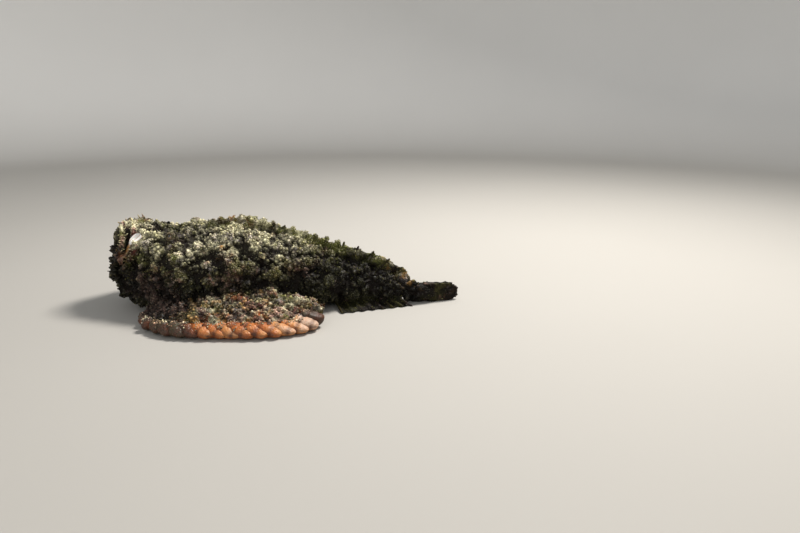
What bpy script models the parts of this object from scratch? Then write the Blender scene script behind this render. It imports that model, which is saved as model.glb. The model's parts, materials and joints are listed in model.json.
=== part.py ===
"""Reef stonefish at life size, resting on its belly with both pectoral fins spread.

Metres, +Z up, floor at z = 0, head towards -X, tail towards +X, left side towards -Y. The body is
one warty form, which thin curved cuts part into lower jaw, head, trunk and tail stalk. Each fin is
a closed fan whose rays are raised in its own surface, cut clear of the body by GAP.
"""

import math
import random

import bmesh
import bpy
from mathutils import Matrix, Vector, noise
from mathutils.bvhtree import BVHTree

# Places along the fish are shares of an axis from just ahead of the lower jaw to the tail's tip.
AXIS_LENGTH = 0.335
AXIS_START = -AXIS_LENGTH / 2
GAP = 0.0003
# How far the belly and fin tips dip under the floor before they are cut flat.
SINK = 0.0018

# Each row: share of the axis, back height, half width, belly height, height of the widest point,
# squareness of the upper and of the lower half.
BODY_ROWS = (
    (0.080, 0.0700, 0.0325, -SINK, 0.0330, 2.4, 3.6),
    (0.130, 0.0720, 0.0420, -SINK, 0.0330, 2.6, 4.2),
    (0.200, 0.0700, 0.0515, -SINK, 0.0320, 2.7, 4.0),
    (0.290, 0.0735, 0.0565, -SINK, 0.0320, 2.4, 3.6),
    (0.390, 0.0750, 0.0545, -SINK, 0.0320, 2.1, 3.2),
    (0.500, 0.0675, 0.0465, -SINK, 0.0300, 2.0, 2.9),
    (0.600, 0.0560, 0.0365, 0.0006, 0.0265, 2.0, 2.5),
    (0.700, 0.0435, 0.0255, 0.0036, 0.0220, 2.0, 2.2),
    (0.790, 0.0320, 0.0160, 0.0040, 0.0165, 2.0, 2.0),
    (0.888, 0.0185, 0.0085, 0.0030, 0.0105, 2.0, 2.0),
)
STALK_END_SHARE = BODY_ROWS[-1][0]
AROUND = 30
# Steps between rings on the head, the trunk and the tail.
RING_STEPS = (0.0052, 0.0074, 0.0100)
# The tail stalk sways a little to the left before the fin.
SWAY = -0.005
SWAY_SHARES = (0.62, 0.86)

# The mouth opens upwards: its seam sweeps back to the sides, less so going down to its corners.
MOUTH_SHARE = BODY_ROWS[0][0]
MOUTH_HEIGHT = 0.070
MOUTH_HALF = 0.030
MOUTH_LEAN = 0.49
MOUTH_SWEEP = 0.0150
MOUTH_CORNER_Z = 0.040
CHIN_Z = 0.045
CHIN_RECEDE = 0.008
CHIN_CURVE = 1.6
SHEAR_END_SHARE = 0.240
JAW_DEPTH = 0.0150
JAW_BLUNT = 2.8
JAW_MIDDLE_Z = 0.048
# How far along JAW_DEPTH each ring of the lower jaw lies, front first.
JAW_RINGS = (0.97, 0.88, 0.72, 0.50, 0.31, 0.15)
LIP_HEIGHT = 0.0026
LIP_OFFSET = 0.0046
LIP_WIDTH = 0.0026
GROOVE_DEPTH = 0.0030
GROOVE_WIDTH = 0.0020

# Each pair: half width and height of the tags that fringe the lips, from the corner to the top.
FRINGE_PLACES = ((0.0330, 0.045), (0.0320, 0.053), (0.0290, 0.061), (0.0240, 0.067), (0.0160, 0.071),
                 (0.0060, 0.072))
FRINGE_OFFSET = 0.0050
FRINGE_LENGTH = 0.0038
FRINGE_RADIUS = 0.0021

EYE_X, EYE_Y, EYE_Z = -0.0900, 0.0320, 0.0695
EYE_RADIUS = 0.0038
EYE_RING = 0.0020
NOSTRIL_X, NOSTRIL_Y = -0.1100, 0.0170
NOSTRIL_RADIUS = 0.0021
GILL_SHARE = 0.288
STALK_SHARE = 0.735
# Reach and fineness of the thin curved plates that part the body.
PLATE_LOW, PLATE_TOP, PLATE_HALF = -0.02, 0.11, 0.075
PLATE_LEVELS, PLATE_COLUMNS = 6, 12

# Each row: centre x, y, z, radius and height of a soft rise or, below zero, a pit.
RELIEF = (
    (-0.1230, 0.000, 0.071, 0.0150, 0.0068),
    (-0.0900, 0.028, 0.066, 0.0105, 0.0055),
    (-0.0930, 0.000, 0.070, 0.0115, -0.0050),
    (-0.0660, 0.029, 0.068, 0.0080, -0.0045),
    (-0.0870, 0.045, 0.050, 0.0100, -0.0060),
    (-0.1120, 0.038, 0.061, 0.0085, 0.0040),
    (-0.0740, 0.051, 0.050, 0.0110, 0.0045),
    (-0.0750, 0.055, 0.030, 0.0110, 0.0040),
    (-0.1010, 0.049, 0.030, 0.0100, 0.0040),
    (-0.1380, 0.034, 0.036, 0.0080, 0.0024),
    (-0.0500, 0.036, 0.066, 0.0110, 0.0042),
    (-0.0330, 0.043, 0.060, 0.0095, -0.0042),
    (-0.0120, 0.032, 0.062, 0.0120, 0.0032),
    (0.0220, 0.030, 0.050, 0.0130, 0.0032),
    (0.0420, 0.024, 0.036, 0.0100, -0.0026),
    (-0.1440, 0.009, 0.070, 0.0085, 0.0060),
)
ROUGHNESS_SCALE = 0.015
ROUGHNESS_HEIGHT = 0.0021

WART_COUNT = 66
WART_TRIES = 6000
# The smallest warts come most often.
WART_RADII = (0.0036, 0.0036, 0.0043, 0.0050, 0.0060)
WART_ROOT = 0.22
WART_SHARES = (0.085, 0.84)
WART_ANGLES = (-28, 208)
LOWEST_WART = 0.013

DORSAL_SPINES = 13
DORSAL_SHARES = (0.292, 0.640)
SPINE_LENGTH = 0.0102
# The share of its length that a spine loses along the fin, and where it does.
SPINE_LOSS, SPINE_LOSS_SHARES = 0.12, (0.15, 0.40)
SPINE_SIDES = 5
SPINE_LEAN = 0.62
SPINE_RADII = (0.0036, 0.0033, 0.0024, 0.0010)
# Height of the membrane on a spine and between two, and its half thickness there.
WEB_ON_SPINE = (0.0058, 0.0024)
WEB_BETWEEN = (0.0036, 0.0018)

PECTORAL_RAYS = 18
PECTORAL_CENTRE = (-0.032, -0.046)
PECTORAL_REACH = (0.080, 0.052)
PECTORAL_SQUARE = 2.6
PECTORAL_ANGLES = (14, 174)
PECTORAL_ROOT_X = (-0.102, -0.036)
PECTORAL_ROOT_Z = (0.012, 0.025)
PECTORAL_ROOT_SINK = 0.011
PECTORAL_ARCH = 0.0065
PECTORAL_TIP_Z = 0.0036
PECTORAL_REAR_LIFT = 0.0095
PECTORAL_STEPS = 4
PECTORAL_NOTCH = 0.09
# Each row: share of the way out along a ray, half thickness on the ray and between two rays.
PECTORAL_ROWS = (
    (0.00, 0.0038, 0.0026),
    (0.38, 0.0033, 0.0018),
    (0.74, 0.0033, 0.0014),
    (0.90, 0.0054, 0.0012),
    (1.00, 0.0034, 0.0008),
)
# Share of the fan and share of the ray of each wart on the upper face of a pectoral fin.
PECTORAL_WARTS = ((0.22, 0.60), (0.36, 0.48), (0.42, 0.72), (0.54, 0.56), (0.62, 0.76), (0.70, 0.50),
                  (0.80, 0.68), (0.88, 0.48), (0.94, 0.72))

SOFT_DORSAL_RAYS = 6
ANAL_RAYS = 8
PELVIC_RAYS = 6
CAUDAL_RAYS = 12

random.seed(7)


def hex_colour(code):
    """An sRGB hex code as linear RGBA."""
    srgb = [int(code[i : i + 2], 16) / 255 for i in (0, 2, 4)]
    return [c / 12.92 if c <= 0.04045 else ((c + 0.055) / 1.055) ** 2.4 for c in srgb] + [1.0]


def finish(name, code, roughness):
    """A plain material of one colour."""
    material = bpy.data.materials.new(name)
    material.use_nodes = True
    shader = material.node_tree.nodes["Principled BSDF"]
    shader.inputs["Base Color"].default_value = hex_colour(code)
    shader.inputs["Roughness"].default_value = roughness
    material.diffuse_color = hex_colour(code)
    return material


def ease(value, low, high):
    """Smooth step from 0 at low to 1 at high."""
    t = min(1.0, max(0.0, (value - low) / (high - low)))
    return t * t * (3 - 2 * t)


def power(value, exponent):
    return math.copysign(abs(value) ** exponent, value)


def body_row(share):
    """The body's measures at a share of its axis, on a smooth curve through BODY_ROWS."""
    shares = [row[0] for row in BODY_ROWS]
    i = min(len(shares) - 2, max(0, sum(s <= share for s in shares) - 1))
    before, after = max(0, i - 1), min(len(shares) - 1, i + 2)
    span = shares[i + 1] - shares[i]
    t = min(1.0, max(0.0, (share - shares[i]) / span))
    values = []
    for column in range(1, len(BODY_ROWS[0])):
        a, b = BODY_ROWS[i][column], BODY_ROWS[i + 1][column]
        slope_a = (b - BODY_ROWS[before][column]) / (shares[i + 1] - shares[before]) * span
        slope_b = (BODY_ROWS[after][column] - a) / (shares[after] - shares[i]) * span
        values.append(
            (2 * t**3 - 3 * t**2 + 1) * a
            + (t**3 - 2 * t**2 + t) * slope_a
            + (3 * t**2 - 2 * t**3) * b
            + (t**3 - t**2) * slope_b
        )
    return values


def x_of(share):
    return AXIS_START + AXIS_LENGTH * share


def share_of(x):
    return (x - AXIS_START) / AXIS_LENGTH


def back_at(share):
    """Height of the smooth back."""
    return body_row(share)[0]


def sway_at(share):
    """Sideways shift of the centreline."""
    return SWAY * ease(share, *SWAY_SHARES)


def seam_shift(y, z):
    """How far the mouth's seam moves along X at this place, from its top middle."""
    chin = CHIN_RECEDE * (max(0.0, CHIN_Z - z) / CHIN_Z) ** CHIN_CURVE
    sweep = MOUTH_SWEEP + MOUTH_LEAN * (max(z, MOUTH_CORNER_Z) - MOUTH_HEIGHT)
    return sweep * (y / MOUTH_HALF) ** 2 + chin


def seam_x(y, z):
    return x_of(MOUTH_SHARE) + seam_shift(y, z)


def body_point(share, angle, shrink=1.0, forward=0.0):
    """A point of the smooth body. shrink draws the ring in, and forward moves it ahead."""
    back, half, belly, wide, upper, lower = body_row(share)
    c, s = math.cos(angle), math.sin(angle)
    square = upper if s >= 0 else lower
    y = half * power(c, 2 / square) * shrink
    z = wide + (back - wide if s >= 0 else wide - belly) * power(s, 2 / square)
    z = JAW_MIDDLE_Z + (z - JAW_MIDDLE_Z) * shrink
    weight = 1 - ease(share, MOUTH_SHARE + 0.01, SHEAR_END_SHARE)
    x = x_of(share) - forward + weight * seam_shift(y, z)
    return Vector((x, y + sway_at(share), z))


def lip_relief(distance, z):
    """Raised lips on both sides of the mouth's groove, fading out at its corners."""
    lip = LIP_HEIGHT * math.exp(-(((abs(distance) - LIP_OFFSET) / LIP_WIDTH) ** 2))
    groove = GROOVE_DEPTH * math.exp(-((distance / GROOVE_WIDTH) ** 2))
    return (lip - groove) * ease(z, MOUTH_CORNER_Z - 0.008, MOUTH_CORNER_Z + 0.006)


def roughness(point):
    return noise.noise(point / ROUGHNESS_SCALE) + 0.5 * noise.noise(point / ROUGHNESS_SCALE * 2.3)


def skin_relief(point):
    """Knobs, pits and rough lumps of the skin at a point."""
    total = 0.0
    for x, y, z, radius, height in RELIEF:
        for side in (1, -1) if y else (1,):
            away = (point - Vector((x, side * y, z))).length
            total += height * math.exp(-((away / radius) ** 2))
    return total + roughness(point) * ROUGHNESS_HEIGHT * ease(point.z, 0.002, 0.012)


def ring_stations():
    """(share, shrink, forward) of each ring of the body, front to back."""
    stations = []
    for part in JAW_RINGS:
        stations.append((MOUTH_SHARE, (1 - part**JAW_BLUNT) ** (1 / JAW_BLUNT), part * JAW_DEPTH))
    length = AXIS_LENGTH * (STALK_END_SHARE - MOUTH_SHARE)
    behind = [0.0, LIP_OFFSET / 2, LIP_OFFSET, LIP_OFFSET + LIP_WIDTH, LIP_OFFSET + 2.4 * LIP_WIDTH]
    while behind[-1] < length - RING_STEPS[2] / 2:
        x = x_of(MOUTH_SHARE) + behind[-1]
        step = RING_STEPS[0 if x < x_of(GILL_SHARE) else 1 if x < x_of(0.6) else 2]
        behind.append(behind[-1] + step)
    behind[-1] = length
    stations += [(MOUTH_SHARE + d / AXIS_LENGTH, 1.0, 0.0) for d in behind]
    return stations


def body_mesh(inflate=0.0):
    """The whole body from chin to tail stalk, as rings closed at both ends. Its quads are split
    the same way whatever inflate is, so that the two bodies stay evenly apart."""
    angles = [2 * math.pi * (k + 0.5) / AROUND for k in range(AROUND)]
    mesh = bmesh.new()
    rings = []
    for share, shrink, forward in ring_stations():
        rings.append([mesh.verts.new(body_point(share, a, shrink, forward)) for a in angles])
    for ring, after in zip(rings, rings[1:]):
        for k in range(AROUND):
            n = (k + 1) % AROUND
            mesh.faces.new((ring[k], ring[n], after[n]))
            mesh.faces.new((ring[k], after[n], after[k]))
    front = mesh.verts.new(body_point(MOUTH_SHARE, 0.0, 0.0, JAW_DEPTH))
    for k in range(AROUND):
        mesh.faces.new((rings[0][(k + 1) % AROUND], rings[0][k], front))
    mesh.faces.new(rings[-1])
    bmesh.ops.recalc_face_normals(mesh, faces=mesh.faces)
    mesh.normal_update()
    shifts = {}
    for vert in mesh.verts:
        distance = vert.co.x - seam_x(vert.co.y, vert.co.z)
        lift = skin_relief(vert.co) + lip_relief(distance, vert.co.z) + inflate
        shifts[vert] = vert.normal * lift
    for vert, shift in shifts.items():
        vert.co += shift
    return mesh


def add_mesh(name, mesh):
    """A new object from a bmesh, which is freed."""
    data = bpy.data.meshes.new(name)
    mesh.to_mesh(data)
    mesh.free()
    obj = bpy.data.objects.new(name, data)
    bpy.context.scene.collection.objects.link(obj)
    return obj


def from_rings(name, rings, upper=None):
    """A closed object from rings of points. upper is how many points of a ring lie on its first
    face: the quads of both faces are split alike, so that a thin curved fin doesn't cross itself."""
    count = len(rings[0])
    upper = upper or count
    mesh = bmesh.new()
    verts = [[mesh.verts.new(p) for p in ring] for ring in rings]
    for ring, after in zip(verts, verts[1:]):
        for k in range(count):
            n = (k + 1) % count
            a, b, c, d = ring[k], ring[n], after[n], after[k]
            halves = ((a, b, c), (a, c, d)) if k < upper else ((a, b, d), (b, c, d))
            for half in halves:
                mesh.faces.new(half)
    for ring in (verts[0], verts[-1]):
        mesh.faces.new(ring)
    bmesh.ops.recalc_face_normals(mesh, faces=mesh.faces)
    bmesh.ops.triangulate(mesh, faces=[f for f in mesh.faces if len(f.verts) > 3])
    return add_mesh(name, mesh)


def turned(place, along, up=Vector((0, 0, 1))):
    """A matrix at place whose X runs along a direction and whose Z leans towards up."""
    x = along.normalized()
    y = up.cross(x).normalized()
    turn = Matrix((x, y, x.cross(y))).transposed().to_4x4()
    return Matrix.Translation(place) @ turn


def ball(name, place, along, radii, up=Vector((0, 0, 1)), detail=1):
    """An ellipsoid with its first radius along a direction."""
    mesh = bmesh.new()
    bmesh.ops.create_icosphere(mesh, subdivisions=detail, radius=1.0)
    mesh.transform(turned(place, along, up) @ Matrix.Diagonal((*radii, 1.0)))
    return add_mesh(name, mesh)


def taper(name, points, radii, sides):
    """A round, tapered rod through a few points."""
    rings = []
    for i, (point, radius) in enumerate(zip(points, radii)):
        ahead = (points[min(i + 1, len(points) - 1)] - points[max(i - 1, 0)]).normalized()
        side = ahead.cross(Vector((0, 1, 0)) if abs(ahead.y) < 0.8 else Vector((1, 0, 0))).normalized()
        over = ahead.cross(side)
        ring = []
        for k in range(sides):
            a = 2 * math.pi * k / sides
            ring.append(point + radius * (side * math.cos(a) + over * math.sin(a)))
        rings.append(ring)
    return from_rings(name, rings)


def box(name, low, high):
    mesh = bmesh.new()
    size = Vector(high) - Vector(low)
    middle = (Vector(high) + Vector(low)) / 2
    bmesh.ops.create_cube(mesh, size=1.0)
    mesh.transform(Matrix.Translation(middle) @ Matrix.Diagonal((*size, 1.0)))
    return add_mesh(name, mesh)


def floor_cutter():
    return box("floor_cutter", (-0.3, -0.3, -0.1), (0.3, 0.3, 0.0))


def apply_boolean(target, others, operation):
    """Joins or cuts target with some objects in one Boolean, applies it and removes them."""
    group = bpy.data.collections.new("operands")
    bpy.context.scene.collection.children.link(group)
    for other in others:
        bpy.context.scene.collection.objects.unlink(other)
        group.objects.link(other)
    modifier = target.modifiers.new("boolean", "BOOLEAN")
    modifier.operation = operation
    modifier.operand_type = "COLLECTION"
    modifier.collection = group
    modifier.solver = "MANIFOLD"
    graph = bpy.context.evaluated_depsgraph_get()
    made = bpy.data.meshes.new_from_object(target.evaluated_get(graph))
    target.modifiers.clear()
    target.data = made
    for other in others:
        bpy.data.objects.remove(other)
    bpy.data.collections.remove(group)
    return target


def closed_pieces(obj):
    """The separate closed surfaces of an object as (volume, bmesh) pairs, largest first."""
    whole = bmesh.new()
    whole.from_mesh(obj.data)
    whole.verts.ensure_lookup_table()
    left = set(whole.verts)
    pieces = []
    while left:
        group, edge = set(), [next(iter(left))]
        while edge:
            vert = edge.pop()
            if vert in group:
                continue
            group.add(vert)
            edge.extend(e.other_vert(vert) for e in vert.link_edges if e.other_vert(vert) not in group)
        left -= group
        piece = bmesh.new()
        copies = {v: piece.verts.new(v.co) for v in sorted(group, key=lambda v: v.index)}
        for face in whole.faces:
            if face.verts[0] in group:
                piece.faces.new([copies[v] for v in face.verts])
        piece.normal_update()
        pieces.append((piece.calc_volume(), piece))
    whole.free()
    return sorted(pieces, key=lambda item: -item[0])


def keep_largest(obj):
    """Drops every closed surface of an object but the largest."""
    pieces = closed_pieces(obj)
    pieces[0][1].to_mesh(obj.data)
    for _, piece in pieces:
        piece.free()
    return obj


def cut_plate(name, x_at):
    """A thin curved plate across the body, GAP thick, along the surface x = x_at(y, z)."""
    rings = []
    for j in range(PLATE_LEVELS + 1):
        z = PLATE_LOW + (PLATE_TOP - PLATE_LOW) * j / PLATE_LEVELS
        ring = []
        for side in (-1, 1):
            ys = [side * PLATE_HALF * (2 * i / PLATE_COLUMNS - 1) for i in range(PLATE_COLUMNS + 1)]
            ring += [Vector((x_at(y, z) + side * GAP / 2, y, z)) for y in ys]
        rings.append(ring)
    return from_rings(name, rings, upper=PLATE_COLUMNS + 1)


def eye_place(side):
    return Vector((EYE_X, side * EYE_Y, EYE_Z))


def eye_axis(side):
    """The eyes look outwards and up, a little forward."""
    return Vector((-0.25, side * 0.80, 0.55)).normalized()


def skin_hit(tree, place, direction):
    """Where a line out from inside the body meets the outermost skin, and the normal there."""
    hit, normal, _, _ = tree.ray_cast(place + direction * AXIS_LENGTH, -direction)
    return hit, normal


def wart_is_clear(hit, share, radius):
    """Whether a wart here keeps off the floor, the mouth, the fins' roots and the eyes."""
    off_floor = hit.z > LOWEST_WART
    off_mouth = abs(hit.x - seam_x(hit.y, hit.z)) > radius + 0.0075 or hit.z < MOUTH_CORNER_Z - 0.010
    beside = abs(hit.y - sway_at(share)) > radius + 0.0064
    off_dorsal = hit.x < x_of(DORSAL_SHARES[0]) - 0.008 or beside
    at_pectoral = PECTORAL_ROOT_X[0] - 0.012 < hit.x < PECTORAL_ROOT_X[1] + 0.026 and hit.z < 0.052
    off_eyes = min((hit - eye_place(side)).length for side in (1, -1)) > radius + 0.0075
    return off_floor and off_mouth and off_dorsal and not at_pectoral and off_eyes


def wart_places(tree):
    """(place, direction, radius) of each wart, seeded and apart from one another."""
    places = []
    for _ in range(WART_TRIES):
        share = WART_SHARES[0] + (WART_SHARES[1] - WART_SHARES[0]) * random.random() ** 1.15
        angle = math.radians(random.uniform(*WART_ANGLES))
        radius = random.choice(WART_RADII) * (0.8 if share > 0.6 else 1.0)
        middle = Vector((x_of(share), sway_at(share), body_row(share)[3]))
        direction = Vector((0, math.cos(angle), math.sin(angle)))
        hit, normal = skin_hit(tree, middle, direction)
        tip = Vector([random.uniform(-0.25, 0.25) for _ in range(3)])
        if hit is None or not wart_is_clear(hit, share, radius):
            continue
        if all((hit - other).length > 1.02 * (radius + size) for other, _, size in places):
            places.append((hit, (normal + tip).normalized(), radius))
        if len(places) == WART_COUNT:
            break
    return places


def wart(name, place, along, radius, grow=0.0):
    """A blunt, slightly tipped dome with its root sunk in the skin."""
    radii = (radius * 1.05 + grow, radius + grow, radius * 0.9 + grow)
    return ball(name, place - along * radius * WART_ROOT, along, radii, Vector((1, 0.2, 0)))


def eye_ring(name, side):
    """A fleshy ring round the eye."""
    turn = turned(eye_place(side), eye_axis(side))
    mesh = bmesh.new()
    major, count, sides = EYE_RADIUS + EYE_RING * 0.7, 12, 6
    rings = []
    for i in range(count):
        a = 2 * math.pi * i / count
        out = Vector((0, math.cos(a), math.sin(a)))
        ring = []
        for k in range(sides):
            b = 2 * math.pi * k / sides
            lift = Vector((EYE_RING * (math.sin(b) + 0.2), 0, 0))
            ring.append(mesh.verts.new(turn @ (out * (major + EYE_RING * math.cos(b)) + lift)))
        rings.append(ring)
    for i in range(count):
        for k in range(sides):
            n, m = (i + 1) % count, (k + 1) % sides
            mesh.faces.new((rings[i][k], rings[n][k], rings[n][m], rings[i][m]))
    bmesh.ops.recalc_face_normals(mesh, faces=mesh.faces)
    return add_mesh(name, mesh)


def eye_stalk(name, side):
    """The knob of flesh that carries the eye."""
    axis = eye_axis(side)
    radii = (EYE_RADIUS * 1.6, EYE_RADIUS * 1.9, EYE_RADIUS * 1.7)
    return ball(name, eye_place(side) - axis * EYE_RADIUS * 1.4, axis, radii)


def nostril_line(tree, side, low, high):
    """Two points of a nostril's axis, so far out from the skin."""
    hit, normal = skin_hit(tree, Vector((NOSTRIL_X, side * NOSTRIL_Y, 0.04)), Vector((0, 0, 1)))
    return [hit + normal * low, hit + normal * high]


def lip_fringe(tree, side):
    """Short blunt tags of skin along both lips on one side."""
    tags = []
    for i, (half, z) in enumerate(FRINGE_PLACES):
        for lip in (-1, 1):
            y = side * half
            start = Vector((seam_x(y, z) + lip * FRINGE_OFFSET, y * 0.6, z - 0.006))
            rise = 0.15 + 1.6 * (i / len(FRINGE_PLACES)) ** 2
            hit, normal = skin_hit(tree, start, Vector((0, side, rise)).normalized())
            out = (normal + Vector((0.35 * lip, 0, 0.3))).normalized()
            size = random.uniform(0.8, 1.2)
            ends = [hit - normal * FRINGE_LENGTH * 0.5, hit + out * FRINGE_LENGTH * 0.4 * size]
            ends.append(hit + out * FRINGE_LENGTH * size)
            radii = [FRINGE_RADIUS * size, FRINGE_RADIUS * 0.85 * size, FRINGE_RADIUS * 0.4 * size]
            tags.append(taper(f"lip_tag_{side}_{lip}_{i}", ends, radii, 5))
    return tags


def membrane(name, side, grow=0.0):
    """The pale skin in the corner of the mouth."""
    ends = []
    for half, z in ((0.0340, 0.0480), (0.0290, 0.0720)):
        ends.append(Vector((seam_x(side * half, z), side * half, z)))
    along = ends[1] - ends[0]
    radii = (along.length / 2 + grow, 0.0034 + grow, 0.0040 + grow)
    return ball(name, (ends[0] + ends[1]) / 2, along, radii, Vector((1, 0, 0)), 2)


def build_flesh(skin):
    """The body, parted into its four nodes. Returns the body a little larger, which the fins are
    cut clear of."""
    whole = add_mesh("whole", body_mesh())
    tree = BVHTree.FromObject(whole, bpy.context.evaluated_depsgraph_get())
    places = wart_places(tree)
    body_clear = add_mesh("body_clear", body_mesh(inflate=GAP * 1.2))
    grown = [wart(f"grown_{i}", *row, grow=GAP * 1.5) for i, row in enumerate(places)]
    keep_largest(apply_boolean(body_clear, grown, "UNION"))

    joined = [wart(f"wart_{i}", *row) for i, row in enumerate(places)]
    cuts = [floor_cutter()]
    for side in (1, -1):
        joined.append(eye_ring(f"eye_ring_{side}", side))
        joined.append(eye_stalk(f"eye_stalk_{side}", side))
        tube = nostril_line(tree, side, -0.002, 0.0034)
        joined.append(taper(f"nostril_{side}", tube, [NOSTRIL_RADIUS * 1.3, NOSTRIL_RADIUS], 8))
        joined += lip_fringe(tree, side)
        hollow = nostril_line(tree, side, 0.0012, 0.006)
        cuts.append(taper(f"nostril_hole_{side}", hollow, [NOSTRIL_RADIUS * 0.5] * 2, 8))
        socket = (EYE_RADIUS + GAP,) * 3
        cuts.append(ball(f"socket_{side}", eye_place(side), eye_axis(side), socket, detail=2))
        cuts.append(membrane(f"mouth_bed_{side}", side, GAP))
    apply_boolean(whole, joined, "UNION")
    keep_largest(whole)

    gill_x, stalk_x = x_of(GILL_SHARE), x_of(STALK_SHARE)
    cuts.append(cut_plate("jaw_cut", seam_x))
    cuts.append(cut_plate("gill_cut", lambda y, z: gill_x - 2.2 * (z - 0.035) ** 2 - 1.5 * y**2))
    cuts.append(cut_plate("stalk_cut", lambda y, z: stalk_x))
    apply_boolean(whole, cuts, "DIFFERENCE")
    names = ("lower_jaw", "head", "trunk", "tail_stalk")
    pieces = [piece for _, piece in closed_pieces(whole)[: len(names)]]
    bpy.data.objects.remove(whole)
    pieces.sort(key=lambda piece: sum(v.co.x for v in piece.verts) / len(piece.verts))
    for name, piece in zip(names, pieces):
        add_mesh(name, piece).data.materials.append(skin)
    return body_clear


def trim(fin, body_clear, skin):
    """Cuts a fin clear of the body and the floor, and keeps its largest piece."""
    clear = bpy.data.objects.new("clear", body_clear.data.copy())
    bpy.context.scene.collection.objects.link(clear)
    apply_boolean(fin, [clear, floor_cutter()], "DIFFERENCE")
    keep_largest(fin)
    fin.data.materials.clear()
    fin.data.materials.append(skin)


def fin_ring(upper, lower):
    """One closed column of a fin: out along its first face and back along the other."""
    return list(upper) + list(reversed(lower))


def pectoral_line(a, r):
    """A point at share r of the way along the ray at share a of the fan. The ray arches up
    between its root, sunk in the body's side, and its tip, on the fan's oval edge."""
    x = PECTORAL_ROOT_X[0] + (PECTORAL_ROOT_X[1] - PECTORAL_ROOT_X[0]) * a
    z = PECTORAL_ROOT_Z[0] + (PECTORAL_ROOT_Z[1] - PECTORAL_ROOT_Z[0]) * a
    root = Vector((x, PECTORAL_ROOT_SINK - body_row(share_of(x))[1], z))
    angle = math.radians(PECTORAL_ANGLES[0] + (PECTORAL_ANGLES[1] - PECTORAL_ANGLES[0]) * a)
    tip_x = PECTORAL_CENTRE[0] - PECTORAL_REACH[0] * power(math.cos(angle), 2 / PECTORAL_SQUARE)
    tip_y = PECTORAL_CENTRE[1] - PECTORAL_REACH[1] * power(math.sin(angle), 2 / PECTORAL_SQUARE)
    tip = Vector((tip_x, tip_y, PECTORAL_TIP_Z + PECTORAL_REAR_LIFT * ease(a, 0.78, 1.0)))
    place = root.lerp(tip, r)
    place.z = root.z + (tip.z - root.z) * r**1.35 + PECTORAL_ARCH * math.sin(math.pi * r) * (1 - 0.4 * a)
    return place


def pectoral_column(a, crest, size):
    """The two faces of the fan along one line: crest is 1 on a ray and 0 between two rays."""
    upper, lower = [], []
    for r, ridge, web in PECTORAL_ROWS:
        point = pectoral_line(a, r * (1 - PECTORAL_NOTCH * (1 - crest)))
        half = (web + (ridge - web) * crest) * size
        lift = roughness(point * 1.7) * 0.0011
        upper.append(point + Vector((0, 0, half + lift)))
        low = point - Vector((0, 0, half - lift))
        on_floor = crest > 0.9 and r > 0.8 and a < 0.8
        lower.append(Vector((low.x, low.y, min(low.z, -SINK / 3))) if on_floor else low)
    return fin_ring(upper, lower)


def pectoral_fin(name, side, body_clear, skin):
    """A broad fan of fleshy rays whose fat, rounded tips lie on the floor."""
    rings = []
    columns = PECTORAL_STEPS * (PECTORAL_RAYS - 1) + 1
    swell = 1.0
    for i in range(columns):
        a = i / (columns - 1)
        phase = i % PECTORAL_STEPS / PECTORAL_STEPS
        if phase == 0.5:
            swell = random.uniform(0.88, 1.12)
        size = swell * (1.05 - 0.3 * abs(a - 0.45))
        rings.append(pectoral_column(a, abs(math.cos(math.pi * phase)), size))
    fan = from_rings(name, rings, upper=len(PECTORAL_ROWS))
    warts = []
    for i, (a, r) in enumerate(PECTORAL_WARTS):
        place = pectoral_line(a, r) + Vector((0, 0, 0.0026))
        outward = Vector((0, -0.2, 1)).normalized()
        warts.append(wart(f"{name}_wart_{i}", place, outward, random.uniform(0.003, 0.004)))
    apply_boolean(fan, warts, "UNION")
    if side > 0:
        fan.data.transform(Matrix.Diagonal((1, -1, 1, 1)))
        fan.data.flip_normals()
    trim(fan, body_clear, skin)


def dorsal_fin(body_clear, skin):
    """Stout spines, folded a little back, in a thick and deeply notched membrane."""
    first, last = DORSAL_SHARES
    rings = []
    columns = 2 * DORSAL_SPINES - 1
    for i in range(-1, columns + 1):
        share = first + (last - first) * i / (columns - 1)
        height, half = WEB_ON_SPINE if i % 2 == 0 else WEB_BETWEEN
        if i < 0:
            height, half = 0.0005, 0.0006
        x, y, back = x_of(share), sway_at(share), back_at(share)
        profile = ((half * 1.5, -0.005), (half * 1.2, 0.4 * height), (half * 0.6, height))
        right = [Vector((x + SPINE_LEAN * h, y + t, back + h)) for t, h in profile]
        left = [Vector((x + SPINE_LEAN * h, y - t, back + h)) for t, h in profile]
        rings.append(fin_ring(right, left))
    fin = from_rings("dorsal_fin_spiny", rings, upper=3)
    spines = []
    for i in range(DORSAL_SPINES):
        along = i / (DORSAL_SPINES - 1)
        share = first + (last - first) * along
        length = SPINE_LENGTH * (1 - SPINE_LOSS * ease(along, *SPINE_LOSS_SHARES))
        length *= random.uniform(0.9, 1.1)
        lean = Vector((SPINE_LEAN * random.uniform(0.9, 1.15), random.uniform(-0.16, 0.16), 1)).normalized()
        root = Vector((x_of(share), sway_at(share), back_at(share) - 0.004))
        places = [root + lean * (0.004 + part * length) for part in (-0.3, 0.45, 0.85, 1.0)]
        spines.append(taper(f"spine_{i}", places, SPINE_RADII, SPINE_SIDES))
    apply_boolean(fin, spines, "UNION")
    trim(fin, body_clear, skin)


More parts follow.
